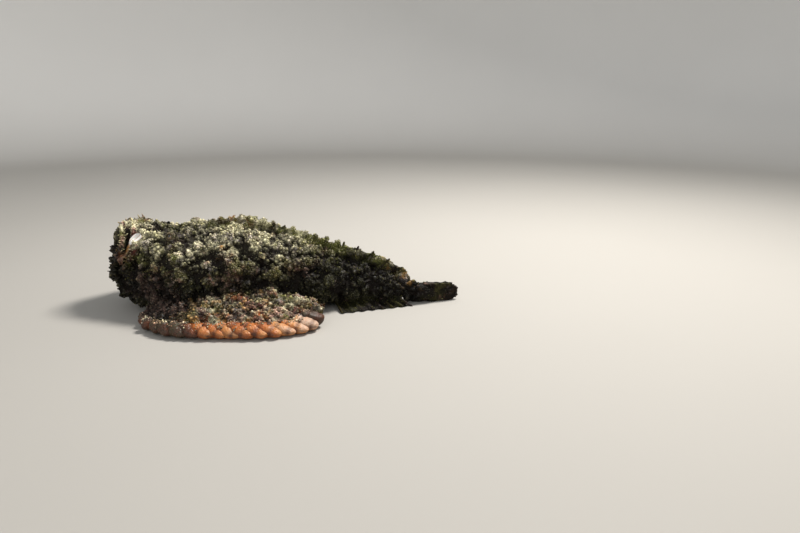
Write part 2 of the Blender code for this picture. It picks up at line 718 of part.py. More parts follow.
def ray_fan(name, roots, tips, rays, thick, body_clear, skin):
    """A fin between a line of roots and a line of tips, with the rays raised as ridges."""
    across = (tips(0.5) - roots(0.5)).cross(tips(1.0) - tips(0.0)).normalized()
    columns = 2 * rays - 1
    rings = []
    for i in range(columns):
        a = i / (columns - 1)
        ridge = i % 2 == 0
        upper, lower = [], []
        for r in (0.0, 0.35, 0.7, 1.0):
            point = roots(a).lerp(tips(a), r * (1.0 if ridge else 0.93))
            half = thick * (1.0 if ridge else 0.5) * (1.35 - 0.75 * r)
            upper.append(point + across * half)
            lower.append(point - across * half)
        rings.append(fin_ring(upper, lower))
    trim(from_rings(name, rings, upper=4), body_clear, skin)


def soft_dorsal_root(a):
    share = 0.660 + 0.180 * a
    return Vector((x_of(share), sway_at(share), back_at(share) - 0.005))


def soft_dorsal_tip(a):
    """The tips trail back over the tail stalk in a rounded edge."""
    drop = 0.0190 * a + 0.0080 * a**2 + 0.0139 * a**8
    return Vector((0.0590 + 0.0700 * a, SWAY * (0.5 + 0.5 * a), 0.0572 - drop))


def anal_root(a):
    share = 0.635 + 0.165 * a
    return Vector((x_of(share), sway_at(share) - 0.004, 0.0080))


def anal_tip(a):
    """The fin lies folded to the left, with its edge on the floor."""
    return Vector((0.0600 + 0.0640 * a, -0.0410 + 0.0215 * a, 0.0005))


def pelvic_root(side, a):
    return Vector((-0.040 + 0.036 * a, side * (0.0390 - 0.0015 * a), 0.0050))


def pelvic_tip(side, a):
    return Vector((-0.012 + 0.040 * a, side * (0.0570 - 0.0080 * a), 0.0005))


def caudal_fin(body_clear, skin):
    """The tail fin, half folded, standing on its lower edge behind the stalk."""
    start = x_of(STALK_END_SHARE) + GAP
    back, half, belly = body_row(STALK_END_SHARE)[:3]
    levels = 2 * CAUDAL_RAYS - 1
    length = -AXIS_START - start
    rings = []
    for r in (0.0, 0.2, 0.5, 0.8, 1.0):
        left, right = [], []
        for k in range(levels):
            a = k / (levels - 1)
            ridge = k % 2 == 0
            bottom = belly * (1 - r) - SINK * ease(r, 0.15, 0.5)
            top = back * (1 - r) + (0.0200 - 0.004 * ease(r, 0.6, 1.0)) * r
            stalk_half = half * (0.15 + 0.85 * math.sqrt(max(0.0, 1 - (2 * a - 1) ** 2)))
            fan_half = (0.0020 if ridge else 0.0010) * (1.15 - 0.45 * r)
            thick = stalk_half + (fan_half - stalk_half) * ease(r, 0.0, 0.5)
            edge = 1 - 0.20 * (a - 0.45) ** 2 - (0.0 if ridge else 0.03)
            x = start + length * r * (edge if r > 0 else 1)
            y = SWAY + 0.007 * r * r
            z = bottom + (top - bottom) * a
            left.append(Vector((x, y - thick, z)))
            right.append(Vector((x, y + thick, z)))
        rings.append(fin_ring(left, right))
    trim(from_rings("caudal_fin", rings, upper=levels), body_clear, skin)


def build_fins(body_clear, skin, fin_skin):
    """Every fin, each cut clear of the body it grows from."""
    dorsal_fin(body_clear, skin)
    soft_dorsal = (soft_dorsal_root, soft_dorsal_tip, SOFT_DORSAL_RAYS, 0.0021)
    ray_fan("dorsal_fin_soft", *soft_dorsal, body_clear, skin)
    ray_fan("anal_fin", anal_root, anal_tip, ANAL_RAYS, 0.0019, body_clear, fin_skin)
    for name, side in (("left", -1), ("right", 1)):
        pelvic = (lambda a, s=side: pelvic_root(s, a)), (lambda a, s=side: pelvic_tip(s, a))
        ray_fan(f"pelvic_fin_{name}", *pelvic, PELVIC_RAYS, 0.0018, body_clear, fin_skin)
        pectoral_fin(f"pectoral_fin_{name}", side, body_clear, fin_skin)
    caudal_fin(body_clear, fin_skin)


def build_eyes(eye, pale):
    """The eyeballs and the pale skin in the corners of the mouth."""
    for name, side in (("left", -1), ("right", 1)):
        globe = ball(f"eye_{name}", eye_place(side), eye_axis(side), (EYE_RADIUS,) * 3, detail=2)
        globe.data.shade_smooth()
        globe.data.materials.append(eye)
        membrane(f"mouth_membrane_{name}", side).data.materials.append(pale)


def centre_all():
    """Moves every piece so that the middle of the whole is over the origin."""
    pieces = list(bpy.data.objects)
    corners = [vert.co for obj in pieces for vert in obj.data.vertices]
    middle = [(min(co[axis] for co in corners) + max(co[axis] for co in corners)) / 2 for axis in (0, 1)]
    for obj in pieces:
        obj.data.transform(Matrix.Translation((-middle[0], -middle[1], 0)))


def main():
    for obj in list(bpy.data.objects):
        bpy.data.objects.remove(obj)
    skin = finish("warty_skin", "4E4A2C", 0.85)
    fin_skin = finish("fin_skin", "A8713C", 0.75)
    eye = finish("eye", "1E1A12", 0.15)
    pale = finish("mouth_skin", "EFE6D2", 0.45)
    body_clear = build_flesh(skin)
    build_fins(body_clear, skin, fin_skin)
    bpy.data.objects.remove(body_clear)
    build_eyes(eye, pale)
    centre_all()


main()
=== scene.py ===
"""Reef stonefish at life size: its skin, warts, skin tags, weed, mouth, eyes and fin rims.

Metres, floor at z = 0, head towards -X, tail towards +X, the fish's left side towards -Y.
"""

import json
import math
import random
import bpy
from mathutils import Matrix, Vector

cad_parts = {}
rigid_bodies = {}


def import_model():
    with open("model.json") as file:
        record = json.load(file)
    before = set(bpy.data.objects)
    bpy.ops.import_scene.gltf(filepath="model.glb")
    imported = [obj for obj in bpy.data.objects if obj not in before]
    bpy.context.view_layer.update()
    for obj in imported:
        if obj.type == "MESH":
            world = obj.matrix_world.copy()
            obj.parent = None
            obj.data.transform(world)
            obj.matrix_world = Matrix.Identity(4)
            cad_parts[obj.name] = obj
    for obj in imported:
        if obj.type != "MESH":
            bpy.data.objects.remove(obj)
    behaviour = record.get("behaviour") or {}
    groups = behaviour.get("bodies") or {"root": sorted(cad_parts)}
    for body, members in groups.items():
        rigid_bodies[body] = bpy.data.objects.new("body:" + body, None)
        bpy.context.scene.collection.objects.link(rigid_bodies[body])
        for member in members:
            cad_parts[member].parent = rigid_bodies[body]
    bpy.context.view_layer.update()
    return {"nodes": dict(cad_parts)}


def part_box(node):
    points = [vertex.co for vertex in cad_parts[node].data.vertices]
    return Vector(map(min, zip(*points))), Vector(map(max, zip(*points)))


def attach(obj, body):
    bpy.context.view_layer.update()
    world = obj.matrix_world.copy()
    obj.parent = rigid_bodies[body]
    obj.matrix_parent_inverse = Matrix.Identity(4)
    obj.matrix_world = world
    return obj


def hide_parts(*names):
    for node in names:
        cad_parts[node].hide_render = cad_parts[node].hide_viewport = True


bl_info = {
    "name": "Reef Stonefish",
    "version": (1, 0, 0),
    "blender": (4, 5, 0),
    "location": "View3D > Sidebar > Stonefish",
    "description": "Builds the skin, warts, weed, mouth, eyes and fin rims of a life-size reef stonefish",
    "category": "Object",
}

import bmesh
import bpy
import numpy as np
from mathutils import Matrix, Vector, noise
from mathutils.bvhtree import BVHTree
from mathutils.kdtree import KDTree

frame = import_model()

FLESH = (
    "lower_jaw", "head", "trunk", "tail_stalk", "dorsal_fin_spiny", "dorsal_fin_soft", "anal_fin",
    "caudal_fin", "pectoral_fin_left", "pectoral_fin_right", "pelvic_fin_left", "pelvic_fin_right",
)
SIDES = (("left", -1), ("right", 1))

# The mouth's seam, as in the solids: its top middle, and how it sweeps back to the sides.
SEAM_X = -0.14645
SEAM_HALF = 0.030
SEAM_TOP = 0.070
SEAM_SWEEP, SEAM_LEAN = 0.0150, 0.49
SEAM_CORNER_Z = 0.040

# The pectoral fan, as in the solids: centre, reach, squareness and angles of its rim, and its root.
FAN_RAYS = 18
FAN_CENTRE = (-0.03775, -0.046)
FAN_REACH = (0.080, 0.052)
FAN_SQUARE = 2.6
FAN_ANGLES = (14, 174)
FAN_ROOT_X = (-0.10775, -0.04175)
FAN_ROOT_Y = (-0.0455, 0.0054)
FAN_ROOT_Z = (0.012, 0.025)
FAN_TIP_Z = 0.0036
FAN_REAR_LIFT = 0.0095
FAN_ARCH = 0.0065
# The fat lobes of the rim end before the fan's rear. Each starts at a share of the way out, and
# slants back over its length.
RIM_LOBES = 17
RIM_START = 0.79
RIM_SLANT = 0.013
RIM_END = 0.90

# Each ray fin: node, number of rays, first and last root, first and last tip, and how far its edge
# bows up between them.
RAY_FINS = (
    ("dorsal_fin_soft", 6, (0.0479, 0.0, 0.0437), (0.1082, -0.005, 0.0204), (0.0533, -0.0025, 0.0572),
     (0.1233, -0.005, 0.0163), 0.009),
    ("anal_fin", 8, (0.0395, -0.004, 0.008), (0.0948, -0.009, 0.008), (0.0543, -0.041, 0.0005),
     (0.1183, -0.0195, 0.0005), 0.0),
    ("pelvic_fin_left", 6, (-0.0458, -0.039, 0.005), (-0.0098, -0.0375, 0.005), (-0.0178, -0.057, 0.0005),
     (0.0223, -0.049, 0.0005), 0.0),
    ("pelvic_fin_right", 6, (-0.0458, 0.039, 0.005), (-0.0098, 0.0375, 0.005), (-0.0178, 0.057, 0.0005),
     (0.0223, 0.049, 0.0005), 0.0),
    ("caudal_fin", 12, (0.1242, -0.005, 0.002), (0.1242, -0.005, 0.0185), (0.1618, 0.002, 0.0),
     (0.1618, 0.002, 0.0155), 0.0),
)
THIN_FINS = tuple(row[0] for row in RAY_FINS)
# How much shorter the tail fin is at its corners than in its middle.
TAIL_ROUNDING = 0.24

# The pale skin in the corner of the mouth: distance from the middle and height of its low and high end.
PALE_ENDS = ((0.0345, 0.0440), (0.0285, 0.0735))
PALE_OUTWARD = (-0.35, 0.25)
PALE_THICKNESS = 0.0016

EYE_AXIS = Vector((-0.25, 0.80, 0.55)).normalized()
EYE_RADIUS = (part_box("eye_left")[1][1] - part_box("eye_left")[0][1]) / 2
# How much painted shade the lids carry, as they lie deep round the eye: darker than the knobs round them.
LID_PAINTED_SHADE = -0.25
LID_THICKNESS = 0.0006

# Heights and depths of the forms on the smooth skin, besides its knobs and folds.
LIP_HEIGHT, LIP_PLEAT = 0.0026, 0.0005
GROOVE_DEPTH = 0.0042
FAN_RAY_HEIGHT, THIN_RAY_HEIGHT = 0.0010, 0.0006
RIM_SINK = 0.0020
PIT_DEPTH = 0.0045
CHIN_TUCK = 0.0024
CROWN_DIP, SNOUT_DIP = 0.0022, 0.0012
HUMP_HEIGHT = 0.0024
PALE_BORDER = 0.0028

# The side of the patch of the colour map that holds one small shape.
BAKE_PATCH = 0.003

# The camera of the photo, low in front of the fish's left side, and the soft lights.
LENS, SENSOR = 26.01, 36.0
CAMERA_PLACE = (0.10575, -0.5282, 0.19)
CAMERA_TILT = 16.526
AIM = (-0.02, -0.02, 0.04)
# Each light: place, size, power and tint.
LIGHTS = (
    ("key", (0.48, 0.26, 0.95), 0.26, 17.5, (1.0, 0.96, 0.91)),
    ("fill", (-0.30, -1.10, 0.50), 0.90, 2.2, (0.96, 0.98, 1.0)),
)
SKY_STRENGTH = 0.58
# The round floor: its flat reach, the radius of the cove at its edge, and the height of the wall.
FLOOR_REACH = 1.5
COVE = 0.7
WALL_TOP = 1.2

# Flesh between the two dorsal fins, and between the stalk and the tail fin: middle and radii.
JOINING_FLESH = (
    ((0.0455, -0.0010, 0.0490), (0.0090, 0.0022, 0.0070)),
    ((0.1210, -0.0050, 0.0050), (0.0085, 0.0030, 0.0060)),
)

# Each row: x, y, z, radius and strength of a patch on the fish's own places. Painted light is the cream
# of lit warts and, below 0, painted shade, as on the front and underside of the head, in the near eye's pit
# and low on the flank; warm is rust and ochre, green weed, pink maroon and flesh tints.
PAINTED_LIGHT_PLACES = (
    (-0.150, -0.004, 0.073, 0.018, 0.32),
    (-0.128, -0.016, 0.074, 0.020, 0.32),
    (-0.100, -0.034, 0.050, 0.020, 0.45),
    (-0.070, -0.040, 0.058, 0.022, 0.38),
    (-0.020, -0.030, 0.066, 0.026, 0.25),
    (0.020, -0.020, 0.064, 0.022, 0.20),
    (-0.158, 0.000, 0.040, 0.026, -0.85),
    (-0.150, -0.030, 0.040, 0.018, -0.60),
    (-0.150, 0.010, 0.015, 0.034, -0.90),
    (-0.122, -0.046, 0.024, 0.026, -0.75),
    (-0.090, -0.060, 0.012, 0.026, -0.70),
    (-0.096, -0.032, 0.069, 0.012, -1.00),
    (-0.094, 0.034, 0.072, 0.009, 0.35),
    (-0.030, -0.050, 0.034, 0.018, -0.35),
    (0.050, -0.002, 0.056, 0.015, 0.75),
    (0.078, -0.003, 0.048, 0.015, 0.95),
    (0.098, -0.004, 0.036, 0.015, 1.20),
    (0.114, -0.005, 0.024, 0.014, 1.70),
)
WARM_PLACES = (
    (-0.060, -0.085, 0.010, 0.035, 0.30),
    (-0.010, -0.088, 0.010, 0.030, 0.20),
    (-0.060, 0.085, 0.010, 0.035, 0.30),
    (-0.010, 0.088, 0.010, 0.030, 0.20),
    (-0.052, 0.000, 0.084, 0.012, 0.55),
    (-0.048, -0.040, 0.056, 0.009, 0.75),
    (0.013, -0.042, 0.045, 0.009, 0.55),
    (-0.145, -0.034, 0.050, 0.012, 0.35),
    (0.114, -0.005, 0.022, 0.016, 0.90),
    (0.094, -0.003, 0.040, 0.012, 0.40),
    (-0.136, 0.000, 0.050, 0.020, 0.15),
)
GREEN_PLACES = (
    (-0.130, -0.044, 0.050, 0.010, 0.95),
    (-0.093, -0.044, 0.052, 0.012, 0.60),
    (0.020, 0.000, 0.066, 0.035, 0.25),
    (0.080, 0.000, 0.045, 0.035, 0.32),
    (-0.115, 0.020, 0.076, 0.018, 0.30),
    (-0.060, -0.010, 0.078, 0.020, 0.30),
    (0.050, 0.020, 0.045, 0.030, 0.25),
)
PINK_PLACES = (
    (-0.115, -0.052, 0.020, 0.024, 0.85),
    (-0.090, -0.062, 0.010, 0.020, 0.70),
    (-0.155, 0.006, 0.060, 0.014, 0.45),
    (-0.130, 0.012, 0.078, 0.014, 0.15),
    (0.000, -0.085, 0.012, 0.026, 0.60),
    (-0.040, -0.052, 0.040, 0.016, 0.45),
    (0.010, 0.030, 0.050, 0.025, 0.45),
    (0.015, -0.044, 0.046, 0.010, 0.60),
)
# Deep pits in the skin of the shoulder.
PIT_PLACES = (
    (-0.040, -0.035, 0.066, 0.006, 1.0),
    (-0.044, 0.038, 0.064, 0.006, 0.9),
)

SKIN_CODES = {
    "recess_shade": "17110D",
    "umber": "3A2B1F",
    "olive": "6C6A38",
    "cream": "D6D0AC",
    "flesh": "C59C8B",
    "lilac": "958C8E",
    "rust": "9C5127",
    "maroon": "5A2A23",
    "moss": "686B33",
    "ochre": "C4924F",
    "orange": "DE7A1C",
    "pale": "EADCC4",
}


def linear(code):
    """An sRGB hex code as linear RGBA."""
    srgb = [int(code[i : i + 2], 16) / 255 for i in (0, 2, 4)]
    return [c / 12.92 if c <= 0.04045 else ((c + 0.055) / 1.055) ** 2.4 for c in srgb] + [1.0]


def put(tree, kind, sockets=None, stops=None, **settings):
    """Adds a node with its settings, fills its sockets with values or links, and sets a ramp's stops."""
    made = tree.nodes.new(kind)
    for name, value in settings.items():
        setattr(made, name, value)
    for key, value in (sockets or {}).items():
        if isinstance(value, bpy.types.NodeSocket):
            tree.links.new(value, made.inputs[key])
        else:
            made.inputs[key].default_value = value
    for i, (place, shade) in enumerate(stops or ()):
        ramp = made.color_ramp.elements
        stop = ramp[i] if i < 2 else ramp.new(place)
        stop.position = place
        stop.color = linear(shade)
    return made


def ease(value, low, high):
    """Smooth step from 0 at low to 1 at high, for numbers and arrays."""
    t = np.clip((value - low) / (high - low), 0.0, 1.0)
    return t * t * (3 - 2 * t)


def bell(value, width):
    """1 at value 0, falling off smoothly over some width."""
    return np.exp(-((value / width) ** 2))


def power(value, exponent):
    """A power that keeps the sign of its value."""
    return math.copysign(abs(value) ** exponent, value)


def seam_x(y, z):
    """Where the mouth's seam lies along X."""
    sweep = SEAM_SWEEP + SEAM_LEAN * (np.maximum(z, SEAM_CORNER_Z) - SEAM_TOP)
    return SEAM_X + sweep * (y / SEAM_HALF) ** 2


def fan_point(a, r):
    """A point at share r of the way out along the ray at share a of the left pectoral fan."""
    x = FAN_ROOT_X[0] + (FAN_ROOT_X[1] - FAN_ROOT_X[0]) * a
    z = FAN_ROOT_Z[0] + (FAN_ROOT_Z[1] - FAN_ROOT_Z[0]) * a
    root = Vector((x, FAN_ROOT_Y[0] + FAN_ROOT_Y[1] * ((a - 0.55) / 0.55) ** 2, z))
    angle = math.radians(FAN_ANGLES[0] + (FAN_ANGLES[1] - FAN_ANGLES[0]) * a)
    tip_x = FAN_CENTRE[0] - FAN_REACH[0] * power(math.cos(angle), 2 / FAN_SQUARE)
    tip_y = FAN_CENTRE[1] - FAN_REACH[1] * power(math.sin(angle), 2 / FAN_SQUARE)
    tip = Vector((tip_x, tip_y, FAN_TIP_Z + FAN_REAR_LIFT * float(ease(a, 0.78, 1.0))))
    place = root.lerp(tip, r)
    place.z = root.z + (tip.z - root.z) * r**1.35 + FAN_ARCH * math.sin(math.pi * r) * (1 - 0.4 * a)
    return place


def link(name, mesh):
    """A new object in the scene from a mesh or a bmesh, which is freed."""
    if isinstance(mesh, bmesh.types.BMesh):
        data = bpy.data.meshes.new(name)
        mesh.to_mesh(data)
        mesh.free()
        mesh = data
    obj = bpy.data.objects.new(name, mesh)
    bpy.context.scene.collection.objects.link(obj)
    return obj


def bridge(mesh, rings):
    """Joins each closed ring of vertices to the next with faces."""
    for ring, after in zip(rings, rings[1:]):
        for k in range(len(ring)):
            n = (k + 1) % len(ring)
            mesh.faces.new((ring[k], ring[n], after[n], after[k]))


def settle(obj):
    """Applies an object's modifiers, so that it holds a plain mesh."""
    graph = bpy.context.evaluated_depsgraph_get()
    made = bpy.data.meshes.new_from_object(
        obj.evaluated_get(graph), preserve_all_data_layers=True, depsgraph=graph
    )
    obj.modifiers.clear()
    obj.data = made
    return obj


def grow(name, tree, mesh, values):
    """Runs a geometry tree on a copy of a mesh, and returns the result as a plain object."""
    obj = link(name, mesh.copy())
    modifier = obj.modifiers.new("growth", "NODES")
    modifier.node_group = tree
    for item in tree.interface.items_tree:
        if item.in_out == "INPUT" and item.name in values:
            modifier[item.identifier] = values[item.name]
    return settle(obj)


def new_tree(name, floats=(), others=()):
    """A geometry tree with named inputs: floats are (name, default), others (name, socket type)."""
    tree = bpy.data.node_groups.new(name, "GeometryNodeTree")
    tree.interface.new_socket("Geometry", in_out="INPUT", socket_type="NodeSocketGeometry")
    tree.interface.new_socket("Geometry", in_out="OUTPUT", socket_type="NodeSocketGeometry")
    for label, default in floats:
        socket = tree.interface.new_socket(label, in_out="INPUT", socket_type="NodeSocketFloat")
        socket.default_value = default
    for label, kind in others:
        tree.interface.new_socket(label, in_out="INPUT", socket_type=kind)
    return tree, put(tree, "NodeGroupInput").outputs, put(tree, "NodeGroupOutput").inputs


def store(mesh, name, values):
    """Keeps one number for each vertex as an attribute."""
    layer = mesh.attributes.get(name) or mesh.attributes.new(name, "FLOAT", "POINT")
    layer.data.foreach_set("value", np.asarray(values, np.float32))


def points_of(mesh):
    """The places of a mesh's vertices as rows of an array."""
    co = np.empty(len(mesh.vertices) * 3, np.float32)
    mesh.vertices.foreach_get("co", co)
    return co.reshape(-1, 3).astype(float)


def move_points(mesh, points):
    """Sets the places of a mesh's vertices."""
    mesh.vertices.foreach_set("co", points.astype(np.float32).ravel())
    mesh.update()


def patch_field(points, places, seed):
    """The sum of soft patches at some places, with ragged edges, for each point."""
    total = np.zeros(len(points))
    for x, y, z, radius, strength in places:
        away = np.linalg.norm(points - np.array((x, y, z)), axis=1) / radius
        total += strength * np.exp(-(away**2))
    offset = Vector((seed, 2.7 * seed, -seed))
    ragged = np.array([noise.noise(Vector(p) / 0.009 + offset) for p in points])
    return total * (1 + 0.8 * ragged)


def solid_tree(name):
    """A search tree over a node's own solid, also where the node is already hidden."""
    mesh = bmesh.new()
    mesh.from_mesh(frame["nodes"][name].data)
    tree = BVHTree.FromBMesh(mesh)
    mesh.free()
    return tree


def distance_to(points, names):
    """How far each point is from the nearest of some nodes."""
    best = np.full(len(points), 1.0)
    graph = bpy.context.evaluated_depsgraph_get()
    for name in names:
        tree = BVHTree.FromObject(frame["nodes"][name], graph)
        low, high = (np.array(corner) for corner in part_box(name))
        near = np.all((points > low - 0.004) & (points < high + 0.004), axis=1)
        for i in np.nonzero(near)[0]:
            found = tree.find_nearest(Vector(points[i]), 0.004)
            if found[0] is not None:
                best[i] = min(best[i], found[3])
    return best


def membrane_line(side):
    """The two ends of the pale skin in the corner of the mouth, low and high."""
    return [Vector((seam_x(half, z), side * half, z)) for half, z in PALE_ENDS]


def membrane_frame(side):
    """The low end of the pale skin, the way along it, the way out of the fish and the way to its rear."""
    low, high = membrane_line(side)
    ahead = (high - low).normalized()
    outward = Vector((PALE_OUTWARD[0], side, PALE_OUTWARD[1]))
    outward = (outward - ahead * outward.dot(ahead)).normalized()
    return low, high - low, outward, ahead.cross(outward) * -side


def membrane_shape(t):
    """How far back of its line the pale skin lies at share t of the way up, and how wide it is to each
    side: a narrow strip that opens into a wedge."""
    shift = -0.0022 + 0.0018 * ease(t, 0.50, 0.66) + 0.0014 * ease(t, 0.66, 0.95)
    half = 0.0017 + 0.0023 * ease(t, 0.60, 0.88)
    return shift, half


def membrane_distance(points, side):
    """How far each point is from the edge of the pale skin."""
    low, along, _, rearward = (np.array(part) for part in membrane_frame(side))
    share = (points - low) @ along / (along @ along)
    shift, half = membrane_shape(share)
    away = np.maximum(np.abs((points - low) @ rearward - shift) - half, 0)
    beyond = np.maximum(np.maximum(-share, share - 0.97), 0) * np.linalg.norm(along)
    line = np.linalg.norm(points - low - np.clip(share, 0, 1)[:, None] * along, axis=1)
    return np.where(line < 0.014, np.hypot(away, beyond), line)


def eye_place(side):
    """The middle of an eye."""
    low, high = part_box("eye_left" if side < 0 else "eye_right")
    return (Vector(low) + Vector(high)) / 2


def eye_axis(side):
    """The way that an eye looks."""
    return Vector((EYE_AXIS.x, side * EYE_AXIS.y, EYE_AXIS.z))


class SkinSettings(bpy.types.PropertyGroup):
    voxel: bpy.props.FloatProperty(
        name="Skin Fineness", description="Edge length of the skin's faces", default=0.00127, unit="LENGTH"
    )
    lump_height: bpy.props.FloatProperty(
        name="Lump Height", description="Height of the broad lumps", default=0.0018, unit="LENGTH"
    )
    knob_height: bpy.props.FloatProperty(
        name="Knob Height", description="Height of the round knobs", default=0.0036, unit="LENGTH"
    )
    knob_spacing: bpy.props.FloatProperty(
        name="Knob Spacing", description="Distance between knobs", default=0.0125, unit="LENGTH"
    )
    fold_depth: bpy.props.FloatProperty(
        name="Fold Depth", description="Depth of the worm-like folds", default=0.0007, unit="LENGTH"
    )


class CoatSettings(bpy.types.PropertyGroup):
    fine_spacing: bpy.props.FloatProperty(
        name="Granule Spacing", description="Least distance between small granules", default=0.00150,
        unit="LENGTH",
    )
    bead_spacing: bpy.props.FloatProperty(
        name="Bead Spacing", description="Least distance between middling warts", default=0.0026,
        unit="LENGTH",
    )
    wart_spacing: bpy.props.FloatProperty(
        name="Wart Spacing", description="Least distance between large warts", default=0.0092, unit="LENGTH"
    )
    seed: bpy.props.IntProperty(name="Seed", description="Which of the random layouts", default=11)


class ColourSettings(bpy.types.PropertyGroup):
    cream: bpy.props.FloatVectorProperty(
        name="Cream", description="Colour of the lit warts", size=4, subtype="COLOR",
        default=linear(SKIN_CODES["cream"]),
    )
    rim: bpy.props.FloatVectorProperty(
        name="Rim Orange", description="Colour of the pectoral rim", size=4, subtype="COLOR",
        default=linear(SKIN_CODES["orange"]),
    )
    floor: bpy.props.FloatVectorProperty(
        name="Floor", description="Colour of the stage", size=4, subtype="COLOR", default=linear("ACA9A3")
    )


def new_material(name):
    """A material to fill: with its tree, its shader and the places on the object."""
    material = bpy.data.materials.new(name)
    material.use_nodes = True
    tree = material.node_tree
    place = put(tree, "ShaderNodeTexCoord").outputs["Object"]
    return material, tree, tree.nodes["Principled BSDF"], place


def markings_and_light_group(cream, orange):
    """The markings that the skin and everything on it share, on the fish's own places, with the painted
    light and shade laid over them.
    """
    codes = {name: linear(code) for name, code in SKIN_CODES.items()}
    codes.update(cream=list(cream), orange=list(orange))
    tree = bpy.data.node_groups.new("Reef markings and painted light", "ShaderNodeTree")
    tree.interface.new_socket("Colour", in_out="OUTPUT", socket_type="NodeSocketColor")
    out = put(tree, "NodeGroupOutput").inputs
    place = put(tree, "ShaderNodeTexCoord").outputs["Object"]
    read = {}
    for name in ("light", "warm", "green", "pink", "rim"):
        read[name] = put(tree, "ShaderNodeAttribute", attribute_name=name).outputs["Fac"]
    # Patches 24 mm across turn the umber ground olive.
    ground = put(tree, "ShaderNodeTexNoise", {"Vector": place, "Scale": 1 / 0.024, "Detail": 5.0})
    olive = put(tree, "ShaderNodeMapRange",
                {"Value": ground.outputs["Fac"], "From Min": 0.42, "From Max": 0.60})
    colour = put(
        tree, "ShaderNodeMix",
        {"Factor": olive.outputs["Result"], 6: codes["umber"], 7: codes["olive"]},
        data_type="RGBA",
    ).outputs[2]
    # Each layer: colour, size of its patches in metres, attribute that brings it out, how strongly,
    # and the noise level where it starts and where it is full. The painted light brings out lilac, cream and
    # pale as painted highlight on lit warts.
    layers = (
        ("lilac", 0.013, "light", 0.10, 0.53, 0.68),
        ("maroon", 0.016, "pink", 0.30, 0.60, 0.74),
        ("cream", 0.011, "light", 0.34, 0.55, 0.72),
        ("rust", 0.012, "warm", 0.20, 0.62, 0.78),
        ("ochre", 0.010, "warm", 0.34, 0.66, 0.84),
        ("flesh", 0.009, "pink", 0.26, 0.60, 0.76),
        ("moss", 0.010, "green", 0.34, 0.60, 0.76),
        ("pale", 0.006, "light", 0.22, 0.66, 0.80),
    )
    for i, (name, size, attribute, strength, start, full) in enumerate(layers):
        shifted = put(tree, "ShaderNodeMapping",
                      {"Vector": place, "Location": (0.31 * i, 0.17 * i, -0.23 * i)})
        speckle = put(
            tree, "ShaderNodeTexNoise",
            {"Vector": shifted.outputs[0], "Scale": 1 / size, "Detail": 6.0, "Roughness": 0.62},
        )
        push = put(tree, "ShaderNodeMath", {0: read[attribute], 1: strength, 2: speckle.outputs["Fac"]},
                   operation="MULTIPLY_ADD")
        amount = put(tree, "ShaderNodeMapRange",
                     {"Value": push.outputs[0], "From Min": start, "From Max": full})
        colour = put(
            tree, "ShaderNodeMix", {"Factor": amount.outputs["Result"], 6: colour, 7: codes[name]},
            data_type="RGBA",
        ).outputs[2]
    rim_noise = put(tree, "ShaderNodeTexNoise", {"Vector": place, "Scale": 1 / 0.006, "Detail": 3.0})
    rim_push = put(tree, "ShaderNodeMath", {0: rim_noise.outputs["Fac"], 1: 0.9, 2: read["rim"]},
                   operation="MULTIPLY_ADD")
    rim = put(tree, "ShaderNodeMapRange", {"Value": rim_push.outputs[0], "From Min": 0.95, "From Max": 1.30})
    colour = put(
        tree, "ShaderNodeMix", {"Factor": rim.outputs["Result"], 6: colour, 7: codes["orange"]},
        data_type="RGBA",
    ).outputs[2]
    # Painted light and shade: the whole colour is darkened or lightened by the painted light.
    painted_light_scale = put(tree, "ShaderNodeMapRange",
                {"Value": read["light"], "From Min": -0.9, "From Max": 0.5, "To Min": 0.13, "To Max": 1.3})
    shaded = put(tree, "ShaderNodeVectorMath", {0: colour, "Scale": painted_light_scale.outputs["Result"]},
                 operation="SCALE")
    tree.links.new(shaded.outputs[0], out["Colour"])
    return tree


def skin_material(marks_and_light):
    """Scaleless fish skin, slimy and matt: the recesses go nearly black with painted shade, the knobs take
    the markings.
    """
    material, tree, shader, place = new_material("Warty fish skin")
    colour = put(tree, "ShaderNodeGroup", node_tree=marks_and_light).outputs["Colour"]
    hollow = put(tree, "ShaderNodeAttribute", attribute_name="hollow").outputs["Fac"]
    # Pores and grains about 2 mm across break the tone up.
    grain = put(tree, "ShaderNodeTexNoise", {"Vector": place, "Scale": 1 / 0.0022, "Detail": 4.0})
    lift = put(tree, "ShaderNodeMapRange",
               {"Value": grain.outputs["Fac"], "From Min": 0.35, "From Max": 0.68, "To Min": 0.45,
                "To Max": 1.15})
    toned = put(tree, "ShaderNodeVectorMath", {0: colour, "Scale": lift.outputs["Result"]},
                operation="SCALE")
    # Painted shade: the deeper a point lies, the nearer it is to the recess colour.
    recess_shaded = put(
        tree, "ShaderNodeMix", {"Factor": hollow, 6: toned.outputs[0], 7: linear(SKIN_CODES["recess_shade"])},
        data_type="RGBA",
    )
    tree.links.new(recess_shaded.outputs[2], shader.inputs["Base Color"])
    cells = put(tree, "ShaderNodeTexVoronoi", {"Vector": place, "Scale": 1 / 0.0021}, feature="SMOOTH_F1")
    height = put(tree, "ShaderNodeMath", {0: cells.outputs["Distance"], 1: -0.8, 2: grain.outputs["Fac"]},
                 operation="MULTIPLY_ADD")
    bump = put(tree, "ShaderNodeBump", {"Height": height.outputs[0], "Strength": 0.8, "Distance": 0.0009})
    tree.links.new(bump.outputs[0], shader.inputs["Normal"])
    rough = put(tree, "ShaderNodeMapRange",
                {"Value": grain.outputs["Fac"], "To Min": 0.50, "To Max": 0.80})
    tree.links.new(rough.outputs["Result"], shader.inputs["Roughness"])
    shader.inputs["Specular IOR Level"].default_value = 0.14
    return material


